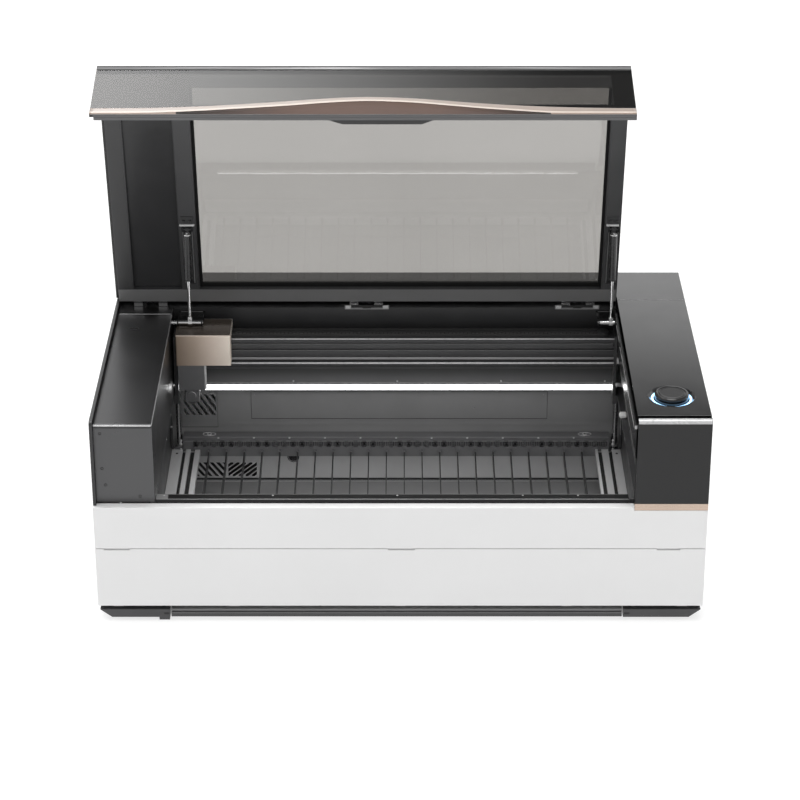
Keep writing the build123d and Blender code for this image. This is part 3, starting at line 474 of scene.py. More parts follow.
def wave_trim():
    p = Piece("wave_trim", lid=True)
    xs = []
    x = -600.0
    while x < 456:
        xs.append(x)
        x += 8.0
    xs += [-433.0, 290.0, 456.0]
    xs = sorted(set(xs))
    rings = []
    for x in xs:
        zt, zb = smooth_curve(WAVE, x), smooth_curve(BAND, x)
        k = max(0.0, min(1.0, (x + 433) / 14.0, (290 - x) / 14.0))      # 1 where the scoop is open
        d = -1.35 + 0.95 * k
        rings.append([(0.0, zt), (-0.9, zt - 0.25), (-1.55, zt - 1.1), (-1.75, zt - 3.0), (-1.72, zb + 5.2),
                      (-1.77, zb + 3.6), (-1.77, zb + 0.9), (-1.50, zb), (d - 0.05, zb - 0.4), (d, zb - 1.2 * k - 0.5),
                      (d + 0.1, 268.6), (-1.60, 268.0), (-1.70, 267.5), (-1.66, 266.8), (0.0, 266.5)])
    n = len(rings[0])
    verts = [(x, a, b) for x, ring in zip(xs, rings) for a, b in ring]
    parts = {}
    for k in range(n - 1):
        parts.setdefault("wave_band" if k < 4 else "wave_edge" if k < 7 else "scoop" if k < 10 else "shell", []).append(k)
    vs = [p.bm.verts.new(p.at(v)) for v in verts]
    for mat, ks in parts.items():
        for s_ in range(len(xs) - 1):
            xm = (xs[s_] + xs[s_ + 1]) / 2
            i = p.slot(mat if mat != "scoop" else "wave_recess" if -433 < xm < 290 else "wave_low")
            for k in ks:
                f = p.bm.faces.new([vs[s_ * n + k], vs[s_ * n + k + 1], vs[(s_ + 1) * n + k + 1], vs[(s_ + 1) * n + k]])
                f.material_index = i
                f.smooth = True
    i = p.slot("wave_band")
    for s_ in range(len(xs) - 1):                             # closed back
        f = p.bm.faces.new([vs[s_ * n + n - 1], vs[s_ * n], vs[(s_ + 1) * n], vs[(s_ + 1) * n + n - 1]])
        f.material_index = i
    for s_ in (0, len(xs) - 1):
        f = p.bm.faces.new([vs[s_ * n + k] for k in range(n)])
        f.material_index = i
    p.done("lid", ["lid_trim"])


wave_trim()

# painted highlight: a pale strip with dark lines either side, along the free edge of the lid's top
p = Piece("lid_edge_strip", lid=True)
p.prism(-599.6, 455.6, [(-0.02, 427.8), (-0.22, 428.0), (-0.22, 431.4), (-0.02, 431.6)], "dark_groove")
p.prism(-599.6, 455.6, [(-0.02, 431.7), (-0.60, 432.2), (-0.78, 433.4), (-0.82, 436.0), (-0.78, 438.6), (-0.60, 439.8),
                        (-0.02, 440.2)], "lid_edge", True)
p.prism(-599.6, 455.6, [(-0.02, 440.3), (-0.62, 440.7), (-0.40, 442.4), (-0.06, 444.1), (0.20, 444.9), (0.30, 443.0)], "lid_edge_dark")
p.done("lid")

# dark liner in the closed side bay, lighter liner along the hinge side, and frame bevel lines
p = Piece("lid_side_liner", lid=True)
p.block(-559.6, -458.4, 40.4, 537.6, 436.2, 436.95, "liner_dark", 0.2)
p.prism(-459.2, -458.3, [(42, 428.5), (536, 428.5), (536, 436.9), (42, 436.9)], "liner_dark")
p.prism(-559.7, -558.8, [(42, 428.5), (536, 428.5), (536, 436.9), (42, 436.9)], "liner_dark")
p.done("lid")
p = Piece("lid_rear_liner", lid=True)
p.block(-592.5, 453.5, 539.2, 569.6, 426.95, 427.45, "liner_mid", 0.15)
p.done("lid")
p = Piece("lid_left_liner", lid=True)
p.block(-592.4, -562.0, 14.0, 538.8, 427.0, 427.45, "liner_left", 0.15)
p.block(424.0, 453.0, 14.0, 355.0, 426.95, 427.4, "liner_right", 0.15)
p.done("lid")
p = Piece("lid_inner_edges", lid=True)
for x in (-422.4, 421.4):
    p.block(x, x + 1.0, 42, 536, 426.9, 427.5, "liner_left", 0.2)
for x in (-457.6, 453.0):
    p.block(x, x + 0.7, 42, 536, 426.9, 427.5, "liner_left", 0.2)
p.done("lid")

# strut mounts on the lid: pocket rim, cross bar and its two bosses
p = Piece("strut_mount_trim", lid=True)
for c in (-1, 1):
    x = 440.0 * c
    p.block(x - 12.6, min(x + 12.6, 450.3), 352.0, 369.6, 425.2, 427.6, "liner_left", 0.5)
    p.block(x - 15.6, min(x + 15.6, 450.3), 369.8, 374.2, 423.2, 427.4, "mount_bar", 0.7)
    for e in (-1, 1):
        p.block(x + e * 9.4 - 0.7, x + e * 9.4 + 0.7, 375, 522, 426.4, 427.8, "edge_mid", 0.25)
        p.turned((x + e * 6.6, 362.0, 425.4), (0, 0, -1), [(3.4, 0), (3.4, 2.6), (2.8, 3.3), (1.4, 3.4), (1.3, 2.4)],
                 "plastic", 20)
    p.turned((x - 10.8, 380.7, 422.9), "X", [(2.2, 0), (2.6, 0.3), (2.6, 2.0), (2.2, 2.3)], "rod", 20)
    p.turned((x + 8.5, 380.7, 422.9), "X", [(2.2, 0), (2.6, 0.3), (2.6, 2.0), (2.2, 2.3)], "rod", 20)
p.done("lid")

# fork collars on the rods, end caps on the cylinders
U = Vector((0, 0.04314, 0.999069))
P0 = Vector((0, 508.0, 421.0))
p = Piece("strut_rod_collars")
for x in (-440.0, 440.0):
    c = P0 + U * 7.0 + Vector((x, 0, 0))
    p.turned(c, U, [(4.6, 0), (5.2, 0.6), (5.2, 3.2), (4.4, 4.6), (3.7, 5.6), (3.46, 6.2)], "rod", 24)
p.done("strut_rods")
p = Piece("strut_cylinder_caps")
for x in (-440.0, 440.0):
    c = P0 + U * (207.59 - 113.0 - 0.6) + Vector((x, 0, 0))
    p.turned(c, U, [(5.6, 0), (7.4, 0.7), (7.62, 1.6), (7.62, 6.0), (7.52, 6.3)], "black_metal", 28)
    c = P0 + U * (207.59 - 13.0) + Vector((x, 0, 0))
    p.turned(c, U, [(7.55, 0), (7.62, 0.4), (7.62, 2.2), (5.2, 3.4), (3.6, 9.0), (2.4, 14.5), (1.4, 15.0)], "rod", 28)
p.done("strut_cylinders")

# hinge cover plates on the rail below the lid
p = Piece("hinge_cover_plates")
for x in (-71.0, 374.0):
    p.prism(x - 47, x + 47, [(577.4, 420.6), (578.3, 420.6), (578.3, 429.4), (577.4, 428.9)], "liner_mid")
    p.prism(x - 33, x + 33, [(577.0, 424.4), (577.5, 424.2), (577.5, 429.2), (577.0, 428.9)], "dark_groove")
    p.prism(x - 9, x + 9, [(576.8, 422.6), (577.3, 422.4), (577.3, 426.4), (576.8, 426.2)], "dark_groove")
    p.prism(x - 46, x + 46, [(576.7, 420.5), (577.5, 420.3), (577.5, 422.2), (576.7, 422.1)], "edge_mid")
    for s_ in (-1, 1):
        p.prism(x + s_ * 39.5 - 5.5, x + s_ * 39.5 + 5.5, [(576.6, 422.3), (577.4, 422.3), (577.4, 428.8), (576.6, 428.6)],
                "silver")
p.prism(-543.0, -536.0, [(576.9, 420.6), (577.6, 420.6), (577.6, 436.0), (576.9, 435.6)], "dark_groove")
p.prism(-541.0, -538.0, [(576.3, 421.4), (577.0, 421.4), (577.0, 426.0), (576.3, 425.8)], "edge_mid")
p.done("chassis")

p = Piece("strut_brackets")
for x0, x1, ears in ((-468.0, -413.6, (-467.6, -417.2)), (413.6, 451.2, (414.0, 447.6))):
    p.prism(x0, x1, [(514.0, 414.4), (577.6, 414.4), (577.6, 416.9), (516.6, 416.9), (515.9, 417.6), (514.4, 417.6)], "wall_black")
    p.prism(x0 + 4, x1 - 4, [(572.0, 416.95), (573.2, 416.95), (573.2, 417.5), (572.0, 417.5)], "edge_mid")
    for e in ears:
        p.prism(e, e + 3.2, [(503.4, 417.0), (505.6, 415.0), (516.0, 414.4), (524.0, 416.8), (513.6, 424.6), (509.0, 426.4),
                             (505.0, 424.8), (503.4, 421.4)], "wall_black")
        p.turned((e + (3.2 if e > x0 + 5 else 0.0), 508, 421), (1 if e > x0 + 5 else -1, 0, 0),
                 [(4.4, 0), (4.4, 0.5), (3.6, 1.0)], "rod", 24)
p.done("chassis")

# ------------------------------------------------------------------ right-hand box
# painted highlight: a thin silver shell over the rounded top front edge of the right box
p = Piece("right_front_edge")
R0, R1, yc_, zc_ = 10.04, 10.22, 10.0, 430.5 + 5.6
zc_ = 436.0
p2 = []
prof_out, prof_in = [], []
for k in range(13):
    t = math.radians(14 + (88 - 14) * k / 12)
    prof_out.append((10.0 - 10.18 * math.cos(t), 436.0 + 10.18 * math.sin(t) - 0.0))
    prof_in.append((10.0 - 10.0 * math.cos(t), 436.0 + 10.0 * math.sin(t)))
p.prism(458.2, 599.3, prof_out + prof_in[::-1], "silver", False)
p.done("chassis")

# painted highlight strips along the seams of the right box's top
p = Piece("right_box_seams")
p.prism(458.0, 599.4, [(567.9, 446.02), (568.45, 446.02), (568.45, 446.25), (567.9, 446.25)], "silver")
p.prism(458.0, 599.4, [(22.1, 446.02), (22.7, 446.02), (22.7, 446.2), (22.1, 446.2)], "edge_mid")
p.prism(452.2, 456.8, [(18.8, 418.6), (19.9, 418.6), (19.9, 425.6), (18.8, 425.6)], "silver")
p.done("chassis")

# painted highlight strips along the ledge, and the rubber seat, that run down the right side of the opening
p = Piece("right_rim_edges")
p.block(450.7, 451.45, 24, 347, 419.2, 421.0, "silver", 0.2)
p.block(450.7, 451.45, 347, 392, 417.2, 418.8, "silver", 0.2)
p.block(450.7, 451.45, 412, 498, 419.2, 421.0, "silver", 0.2)
p.block(450.9, 451.45, 392, 412, 416.0, 424.0, "wall_black", 0.2)
p.done("chassis")

# right inner wall: a rim with a short web, open below onto the rail bay
p = Piece("right_wall_web")
for x0, x1, z0, z1 in ((451.5, 457.5, 418.0, 426.0), (455.6, 459.9, 355.0, 418.2)):
    verts = [(x0, 20.2, z0), (x1, 20.2, z0), (x1, 20.2, z1), (x0 + 0.5, 20.2, z1), (x0, 20.2, z1 - 0.5),
             (x0, 567.8, z0), (x1, 567.8, z0), (x1, 567.8, z1), (x0 + 0.5, 567.8, z1), (x0, 567.8, z1 - 0.5)]
    p.add(verts, [(0, 1, 2, 3, 4), (9, 8, 7, 6, 5), (0, 5, 6, 1), (1, 6, 7, 2), (2, 7, 8, 3), (3, 8, 9, 4), (4, 9, 5, 0)],
          "wall_black")
p.block(455.1, 455.6, 24, 400, 355.0, 357.2, "edge_mid", 0.15)
p.block(459.9, 473.4, 20.2, 567.8, 416.4, 417.9, "wall_black", 0.3)
p.block(472.0, 473.4, 20.2, 567.8, 250.2, 416.4, "web_low", 0.3)
p.block(456.0, 472.0, 20.2, 21.6, 254.4, 417.0, "chamber_dark", 0.3)
for y in (120, 330, 505):
    p.block(471.3, 472.0, y - 9, y + 9, 262, 300, "wall_black", 0.3)
    p.turned((471.3, y, 281), (-1, 0, 0), [(3.0, 0), (3.0, 0.8), (2.2, 1.2)], "screw", 20)
p.done("chassis", ["right_inner_wall"])

# end-stop block on the right rail, with its bracket
p = Piece("end_stop_block")
p.block(456.0, 471.6, 392.0, 408.0, 254.2, 263.6, "sensor", 2.2)
p.block(458.6, 459.6, 388.0, 391.6, 218.0, 254.0, "edge_mid", 0.3)
p.block(459.6, 470.0, 390.0, 391.6, 218.0, 254.0, "chamber_dark", 0.5)
p.turned((465.0, 389.9, 246.0), (0, -1, 0), [(2.4, 0), (2.4, 0.9), (1.7, 1.2)], "silver", 20)
p.turned((465.0, 389.9, 232.0), (0, -1, 0), [(2.4, 0), (2.4, 0.9), (1.7, 1.2)], "silver", 20)
p.done("chassis")

# ------------------------------------------------------------------ start button
p = Piece("button_cap_rim")
prof = [(26.5, 453.4), (28.4, 454.02), (30.2, 453.7), (31.8, 452.6), (32.9, 451.0), (33.3, 448.9), (33.64, 448.6),
        (33.66, 451.2), (32.2, 453.3), (30.4, 454.35), (28.2, 454.6), (26.5, 454.05)]
verts, faces, seg, n = [], [], 96, len(prof)
for k in range(seg):
    t = 2 * math.pi * k / seg
    for r, z in prof:
        verts.append((530 + r * math.cos(t), 107 + r * math.sin(t), z))
for k in range(seg):
    for j in range(n):
        faces.append((k * n + j, k * n + (j + 1) % n, ((k + 1) % seg) * n + (j + 1) % n, ((k + 1) % seg) * n + j))
p.add(verts, faces, "bezel", True)
p.done("button")
p = Piece("button_dish")
p.turned((530, 107, 0), "Z", [(26.4, 453.2), (26.4, 454.05), (24.0, 454.1), (18.0, 453.8), (9.0, 453.55), (0.0, 453.5)],
         "gloss", 96)
p.done("button")
p = Piece("ring_trim")
p.loop((530, 107, 441.6), "Z", 40.6, 40.6, 0.55, "edge_mid", 96, 10)
p.loop((530, 107, 446.1), "Z", 46.6, 46.6, 0.45, "bezel", 96, 10)
p.done("chassis")

# ------------------------------------------------------------------ gantry: painted highlight strips on the extrusion edges, fixing holes, belt teeth
p = Piece("gantry_edges")
X0, X1 = -468.6, 448.6
p.prism(X0, X1, [(499.25, 386.0), (499.7, 385.6), (500.0, 385.6), (500.0, 388.2), (499.6, 388.2), (499.25, 387.8)], "silver")
p.prism(X0, X1, [(496.3, 331.0), (496.98, 330.8), (496.98, 334.6), (496.3, 334.4)], "silver")
p.prism(X0, X1, [(499.3, 370.0), (499.98, 370.0), (499.98, 373.4), (499.3, 373.2)], "dark_groove")
p.prism(X0, X1, [(496.4, 324.6), (496.98, 324.6), (496.98, 325.4), (496.4, 325.4)], "dark_groove")
p.prism(X0, X1, [(499.4, 340.2), (499.98, 340.0), (499.98, 345.0), (499.4, 344.8)], "edge_mid")
p.prism(X0, X1, [(499.6, 360.4), (499.98, 360.3), (499.98, 361.0), (499.6, 360.9)], "edge_mid")
p.prism(X0, X1, [(499.7, 335.2), (499.98, 335.2), (499.98, 338.6), (499.7, 338.6)], "dark_groove")
for x in (-24.3, 83.6, 404.0):
    p.turned((x, 500.0, 344.8), (0, -1, 0), [(1.7, 0), (1.7, 0.45), (1.2, 0.5), (1.0, 0.2)], "dark_groove", 16)
p.done("gantry")
p = Piece("belt_teeth")
x = -452.0
while x < 432:
    p.block(x, x + 1.6, 509.4, 515.4, 394.55, 395.15, "rubber", 0.2)
    x += 8.0
p.done("gantry")
p = Piece("gantry_end_plates")
for x, s_ in ((-480.6, -1), (460.7, 1)):
    p.turned((x - s_ * 1.2 - (0 if s_ < 0 else 1.4), 520, 380), "X", [(4.2, 0), (4.6, 0.4), (4.6, 2.2), (4.2, 2.6)], "screw", 24)
p.block(455.5, 459.8, 498.2, 499.0, 330, 344, "silver", 0.3)
p.done("gantry")

# ------------------------------------------------------------------ head: edges, with a painted shade sheet on the top and painted highlight strips, lens ring, screws
p = Piece("head_edges")
p.block(-467.4, -354.6, 461.2, 544.0, 413.02, 413.22, "head_top", 0.08)
p.prism(-467.6, -354.4, [(459.55, 411.9), (459.9, 411.7), (461.0, 412.95), (460.7, 413.3), (459.8, 413.0)], "wave_edge")
verts = [(-354.4, 459.7, 345), (-353.75, 459.7, 345), (-353.75, 461.2, 345), (-354.4, 461.2, 345)]
verts += [(a, b, 412.4) for a, b, _ in verts]
p.add(verts, [(0, 1, 2, 3), (7, 6, 5, 4), (0, 4, 5, 1), (1, 5, 6, 2), (2, 6, 7, 3), (3, 7, 4, 0)], "wave_edge")
p.prism(-354.3, -353.9, [(461.5, 412.4), (544, 412.4), (544, 413.15), (461.5, 413.15)], "edge_mid")
p.prism(-467.5, -354.5, [(544.2, 412.6), (544.85, 412.6), (544.85, 413.15), (544.2, 413.15)], "edge_mid")
p.prism(-410.3, -406.0, [(463.0, 288.0), (464.2, 287.6), (464.2, 343.0), (463.0, 343.0)], "silver")
p.done("head")
p = Piece("focus_lens_ring")
p.turned((-438, 466.1, 272), (0, -1, 0), [(8.4, 0), (8.4, 1.1), (7.9, 1.6), (6.9, 1.6), (6.5, 1.0)], "silver", 40)
p.turned((-438, 466.0, 272), (0, -1, 0), [(6.4, 0), (6.4, 0.9), (5.0, 1.25), (2.5, 1.4), (0.0, 1.42)], "lens", 40)
p.turned((-438, 465.0, 272), (0, -1, 0), [(2.2, 0), (2.2, 0.7), (1.4, 0.9)], "silver", 20)
p.turned((-426, 466.0, 281.5), (0, -1, 0), [(1.6, 0), (1.6, 0.8), (1.1, 1.0)], "screw", 16)
p.turned((-450, 466.0, 281.5), (0, -1, 0), [(1.6, 0), (1.6, 0.8), (1.1, 1.0)], "screw", 16)
p.block(-423.0, -422.1, 465.2, 466.2, 257, 283, "silver", 0.2)
p.block(-453, -424, 465.3, 466.0, 255.6, 257.0, "dark_groove", 0.3)
p.done("focus")

# ------------------------------------------------------------------ rear wall: light bar clips, hood rivets, covers
p = Piece("light_bar_fittings")
for x in (-340, -118, 104, 324):
    p.block(x - 1.1, x + 1.1, 546.2, 547.3, 245.6, 251.6, "edge_mid", 0.3)
    p.turned((x, 546.9, 248.6), (0, -1, 0), [(1.3, 0), (1.3, 0.8), (0.9, 1.0)], "screw", 16)
for x in (-450.0, -228.0, -6.8, 214.5, 435.8):
    p.turned((x, 546.9, 266.4), (0, -0.95, 0.3), [(2.0, 0), (2.0, 0.5), (1.5, 1.1), (0.5, 1.4)], "silver", 20)
p.prism(-478.8, 456.2, [(545.9, 258.6), (546.6, 258.6), (546.6, 264.6), (545.9, 264.2)], "edge_mid")
p.prism(-478.8, 456.2, [(546.1, 243.6), (559.8, 243.6), (559.8, 245.8), (546.1, 245.8)], "edge_mid")
p.done("chassis")

p = Piece("rear_wall_fittings")
# cover plate behind the rails, with its four corner screws
for a, b, c, d in ((-320, 315, 170.2, 170.9), (-320, 315, 234.3, 235.0), (-320.4, -319.7, 170.2, 235.0),
                   (314.7, 315.4, 170.2, 235.0)):
    p.block(a, b, 559.4, 560.05, c, d, "dark_groove", 0.15)
for x in (-470.5, -393.0):
    p.block(x - 0.35, x + 0.35, 559.4, 560.05, 150, 236, "dark_groove", 0.1)
p.block(-470.5, -393.0, 559.4, 560.05, 150.0, 150.7, "dark_groove", 0.15)
for x, z in ((-466, 232), (-397, 232), (-312, 228), (307, 228), (158, 196), (330, 150), (-455, 154)):
    p.turned((x, 560.02, z), (0, -1, 0), [(1.7, 0), (1.7, 0.5), (1.1, 0.8), (0.4, 0.85)], "edge_mid", 16)
# drain bung in its hole
p.turned((-232, 560.4, 78), (0, -1, 0), [(12.6, 0), (12.6, 1.6), (11.0, 2.4), (9.0, 2.4), (8.4, 1.2), (4.4, 1.0), (4.0, 2.6),
                                        (2.8, 3.2), (0.5, 3.2)], "black_metal", 40)
p.loop((-232, 557.9, 78), "Y", 10.0, 10.0, 0.7, "edge_mid", 48, 8)
# painted shade: a dark line along the crease where the wall folds to the floor
p.prism(-490, 472, [(559.3, 24.4), (559.95, 24.4), (559.95, 26.4), (559.3, 26.2)], "dark_groove")
p.done("chassis")

# ------------------------------------------------------------------ lifting bed: comb fittings, post screws, slat pads
p = Piece("comb_fittings")
p.prism(-466, 448, [(519.55, 145.6), (520.0, 145.4), (520.0, 146.6), (519.55, 146.5)], "edge_mid")
p.prism(-463, 445, [(519.4, 135.6), (520.0, 135.4), (520.0, 136.6), (519.4, 136.4)], "edge_mid")
p.prism(-466, 448, [(519.5, 146.9), (544.0, 146.9), (544.0, 147.1), (519.5, 147.1)], "comb")
for x in (-410.0, 395.4):
    p.loop((x, 532.0, 147.1), "Z", 13.6, 7.6, 0.9, "silver", 48, 8)
    p.turned((x, 532.0, 147.0), "Z", [(5.6, 0), (5.6, 0.5), (4.8, 0.9), (2.6, 0.95)], "silver", 28)
    p.turned((x, 532.0, 147.0), "Z", [(2.4, 0), (2.4, 1.05), (1.2, 1.1)], "dark_groove", 20)
x = -390.2
while x < 440:
    p.turned((x, 519.9, 144.2), (0, -1, 0), [(2.2, 0), (2.2, 0.6), (1.7, 1.2), (0.6, 1.5)], "silver", 20)
    x += 76.2
# notch linings, with fine guide pins in every second pair
k, cx = 0, -411.0 - 38.1 + 9.5
while cx < 440:
    if cx > -462:
        p.block(cx - 4.4, cx + 4.4, 519.55, 520.0, 132.6, 137.2, "dark_groove", 0.2)
        if k % 4 in (1, 2):
            for j in (-3.0, 0.0, 3.0):
                p.block(cx + j - 0.6, cx + j + 0.6, 519.2, 519.9, 122.6, 137.2, "comb", 0.15)
        else:
            p.turned((cx, 519.9, 129.6), (0, -1, 0), [(2.4, 0), (2.4, 0.6), (1.2, 0.9)], "black_metal", 16)
    for j in (6.0, 9.5, 13.0):                                # fine slots between the notches
        if -466 < cx + j < 446:
            p.block(cx + j - 0.8, cx + j + 0.8, 519.55, 520.0, 125.0, 136.2, "dark_groove", 0.15)
    k += 1
    cx += 19.05
p.done("bed")

p = Piece("bed_post_fittings")
for x, y in ((-474.0, 531.0), (459.0, 531.0)):
    s_ = -1 if x < 0 else 1
    p.turned((x, y, 121.2), "Z", [(8.6, 0), (9.4, 0.6), (9.4, 3.2), (8.6, 3.8), (7.0, 3.9)], "edge_mid", 32)
    p.turned((x - s_ * 3.0, 518.6, 128.5), "Z", [(3.0, 0), (3.6, 0.5), (3.6, 3.0), (2.2, 3.6), (1.9, 8.0), (3.2, 8.6), (3.2, 11.0),
                                     (1.4, 12.0)], "silver", 24)
    p.turned((x - s_ * 3.0, 518.6, 112.2), "Z", [(2.6, 0), (3.2, 0.5), (3.2, 2.6), (1.8, 3.2), (1.8, 6.0), (2.6, 6.4), (1.2, 8.0)],
             "silver", 24)
    p.block(x - s_ * 3.0 - 4.0, x - s_ * 3.0 + 4.0, 515.0, 519.9, 108.0, 112.4, "black_metal", 0.6)
for x, y in ((460.5, 300), (462.5, 190), (464.0, 160)):
    p.turned((x, y, 116.4), "Z", [(1.5, 0), (1.5, 0.35), (1.0, 0.4), (0.8, 0.2)], "dark_groove", 16)
for x0, x1 in ((-466.9, -460.1), (-449.9, -441.1), (423.6, 431.9), (446.1, 453.9)):
    p.block(x0, x1, 62, 516, 111.05, 111.6, "dark_groove", 0.2)
for x in (-478.5, 463.0):
    for y in (70, 500):
        p.turned((x, y, 116.4), "Z", [(2.6, 0), (2.6, 0.9), (2.0, 1.4), (1.0, 1.45), (0.9, 0.9)], "screw", 20)
p.done("bed")

p = Piece("slat_end_clips")
for i in range(22):
    sx = -411.0 + i * 38.1
    p.block(sx - 3.0, sx + 3.0, 512.0, 519.8, 108.0, 116.4, "comb", 0.5)
    p.block(sx - 2.6, sx + 2.6, 58.1, 64.0, 108.0, 116.2, "comb", 0.5)
p.done("bed")

# ------------------------------------------------------------------ front light bar under the sill lip
p = Piece("front_light_bar")
p.prism(-419, 405, [(42.4, 255.2), (46.0, 253.2), (46.0, 258.6), (42.4, 258.6)], "led_front")
p.prism(-421, 407, [(42.2, 258.7), (47.6, 258.7), (47.6, 260.4), (42.2, 260.4)], "hood")
p.prism(-421, 407, [(42.2, 251.4), (44.4, 251.4), (45.6, 252.6), (45.6, 253.1), (42.2, 255.1)], "hood")
for x in (-347.7, -119.1, 104, 331):
    p.block(x - 1.4, x + 1.4, 43.0, 48.0, 252.2, 260.8, "black_metal", 0.4)
for x0, x1 in ((-425.0, -419.2), (405.2, 411.0)):
    p.block(x0, x1, 42.2, 48.2, 251.2, 260.8, "plastic", 1.0)
p.done("chassis")

# ------------------------------------------------------------------ left box: edge highlights and screws
p = Piece("left_box_edges")
p.prism(-591, -482, [(540.0, 425.45), (542.8, 425.45), (542.6, 425.85), (540.2, 425.85)], "silver")
p.prism(-592.6, -481.6, [(19.3, 423.6), (19.9, 423.4), (21.4, 425.45), (21.2, 425.9), (20.0, 425.7), (19.4, 425.0)], "silver")
verts = []
for y in (22.0, 536.0):
    verts += [(-481.4, y, 425.45), (-480.5, y, 425.75), (-479.75, y, 425.1), (-479.7, y, 424.0), (-480.0, y, 423.8)]
p.add(verts, [(0, 1, 2, 3, 4), (9, 8, 7, 6, 5), (0, 5, 6, 1), (1, 6, 7, 2), (2, 7, 8, 3), (3, 8, 9, 4), (4, 9, 5, 0)],
      "edge_mid")
p.prism(-592.8, -481.5, [(19.9, 259.0), (20.0, 259.0), (20.0, 259.8), (19.9, 259.8)], "dark_groove")
p.done("chassis")
p = Piece("screw_recesses")
for hx, hz in ((-580.6, 408.0), (-579.9, 332.1), (-574.5, 296.1), (-508.3, 271.1)):
    p.loop((hx, 19.95, hz), "Y", 2.75, 2.75, 0.4, "dark_groove", 32, 8)
    p.turned((hx, 20.35, hz), (0, -1, 0), [(2.25, 0), (2.25, 0.3), (1.9, 0.55), (1.1, 0.55), (1.0, 0.1)], "screw", 24)
p.done("chassis")

# ------------------------------------------------------------------ front sill: lip line drawn as a painted highlight, and screws
p = Piece("sill_fittings")
p.prism(-477.6, 446.6, [(19.55, 262.6), (20.6, 263.95), (21.9, 264.2), (21.9, 264.0), (20.7, 263.75), (19.7, 262.5)], "silver")
p.prism(-477.6, 446.6, [(40.8, 263.9), (41.9, 263.9), (41.9, 264.15), (40.8, 264.15)], "edge_mid")
for x in (-463, -250, -6, 240, 348):
    p.turned((x, 36.5, 263.9), "Z", [(2.0, 0), (2.0, 0.5), (1.4, 0.9), (0.6, 0.95)], "silver", 20)
p.prism(-477.8, -455, [(20.2, 264.0), (41.5, 264.0), (41.5, 264.22), (20.2, 264.22)], "edge_mid")
p.done("chassis")

# ------------------------------------------------------------------ side-wall rollers and rail covers inside the chamber
p = Piece("side_wall_fittings")
p.prism(-491.0, -490.2, [(60, 246.4), (540, 246.4), (540, 249.6), (60, 249.6)], "edge_mid")
p.prism(472.2, 473.0, [(60, 246.4), (540, 246.4), (540, 249.6), (60, 249.6)], "edge_mid")
for y in (90, 200, 310, 420, 520):
    p.turned((-480.9, y, 248), "X", [(2.4, 0), (2.4, 0.7), (1.6, 1.0)], "edge_mid", 18)
    p.turned((460.9, y, 248), (-1, 0, 0), [(2.4, 0), (2.4, 0.7), (1.6, 1.0)], "edge_mid", 18)
for x0, x1 in ((-490.9, -486.0), (468.0, 472.9)):
    p.block(x0, x1, 500, 512, 128, 176, "chamber_dark", 1.0)
    p.block(x0, x1, 503, 509, 176, 178.5, "edge_mid", 0.6)
p.done("chassis")

# ------------------------------------------------------------------ base: end blocks of the tray opening
p = Piece("tray_end_stops")
for x0, x1 in ((-470, -459.4), (444.4, 456)):
    p.block(x0, x1, 3.6, 4.2, 13.0, 17.4, "dark_groove", 0.2)
p.done("chassis")
p = Piece("tray_bar_skin")
p.prism(-455.7, 440.7, [(3.8, 8.3), (3.8, 15.9), (4.6, 17.12), (12.1, 17.12), (12.1, 17.02), (4.8, 17.02), (3.98, 15.8),
                        (3.98, 8.3)], "bar_coat")
p.done("tray")
# painted highlight: a lighter strip along the rounded top edge of the tray's pull bar
p = Piece("tray_bar_painted_highlight")
p.prism(-455.6, 440.6, [(3.8, 15.2), (4.4, 16.95), (9.6, 17.15), (9.6, 17.0), (4.5, 16.8), (4.0, 15.1)], "edge_mid")
p.done("tray")

# painted shade: a thin dark sheet under the finger lip at the lid's front edge; and the strip that closes the front
# pane's lower edge
p = Piece("lid_finger_lip_painted_shade", lid=True)
verts = [(x, y, z) for z in (266.1, 266.42) for x, y in ((-137, 11.6), (62, 11.6), (41, 20.2), (-112, 20.2))]
p.add(verts, [(3, 2, 1, 0), (4, 5, 6, 7), (0, 1, 5, 4), (1, 2, 6, 5), (2, 3, 7, 6), (3, 0, 4, 7)], "lip_dark")
p.done("lid")
p = Piece("lid_front_lip", lid=True)
p.block(-592.0, 455.8, 0.2, 4.9, 266.9, 267.9, "shell", 0.2)
p.done("lid")

# printed border behind both panes, held a hair off the glass so that the two faces never share a plane
p = Piece("lid_printed_border", lid=True)
for x0, x1, z0, z1 in ((-600, -415, 268.0, 442.0), (415, 456, 268.0, 442.0), (-415, 415, 268.0, 311.0), (-415, 415, 417.0, 442.0)):
    p.block(x0, x1, 4.08, 4.94, z0, z1, "mask", 0.03)
for x0, x1, y0, y1 in ((-600, -415, 5.2, 571.0), (415, 456, 5.2, 571.0), (-415, 415, 5.2, 46.0), (-415, 415, 528.0, 571.0)):
    p.block(x0, x1, y0, y1, 441.0, 441.92, "mask", 0.03)
p.done("lid", ["lid_mask"])

# pale plates seen through the three notches in the seam of the front panel
p = Piece("seam_notch_plates")
for x0, x1 in ((-582.7, -532.3), (-23.7, 27.7), (504.3, 549.7)):
    p.block(x0, x1, 3.2, 4.4, 157.0, 170.0, "hinge_white", 0.2)
p.done("chassis")

# ------------------------------------------------------------------ stage
scene = bpy.context.scene
scene.view_settings.view_transform = "Standard"


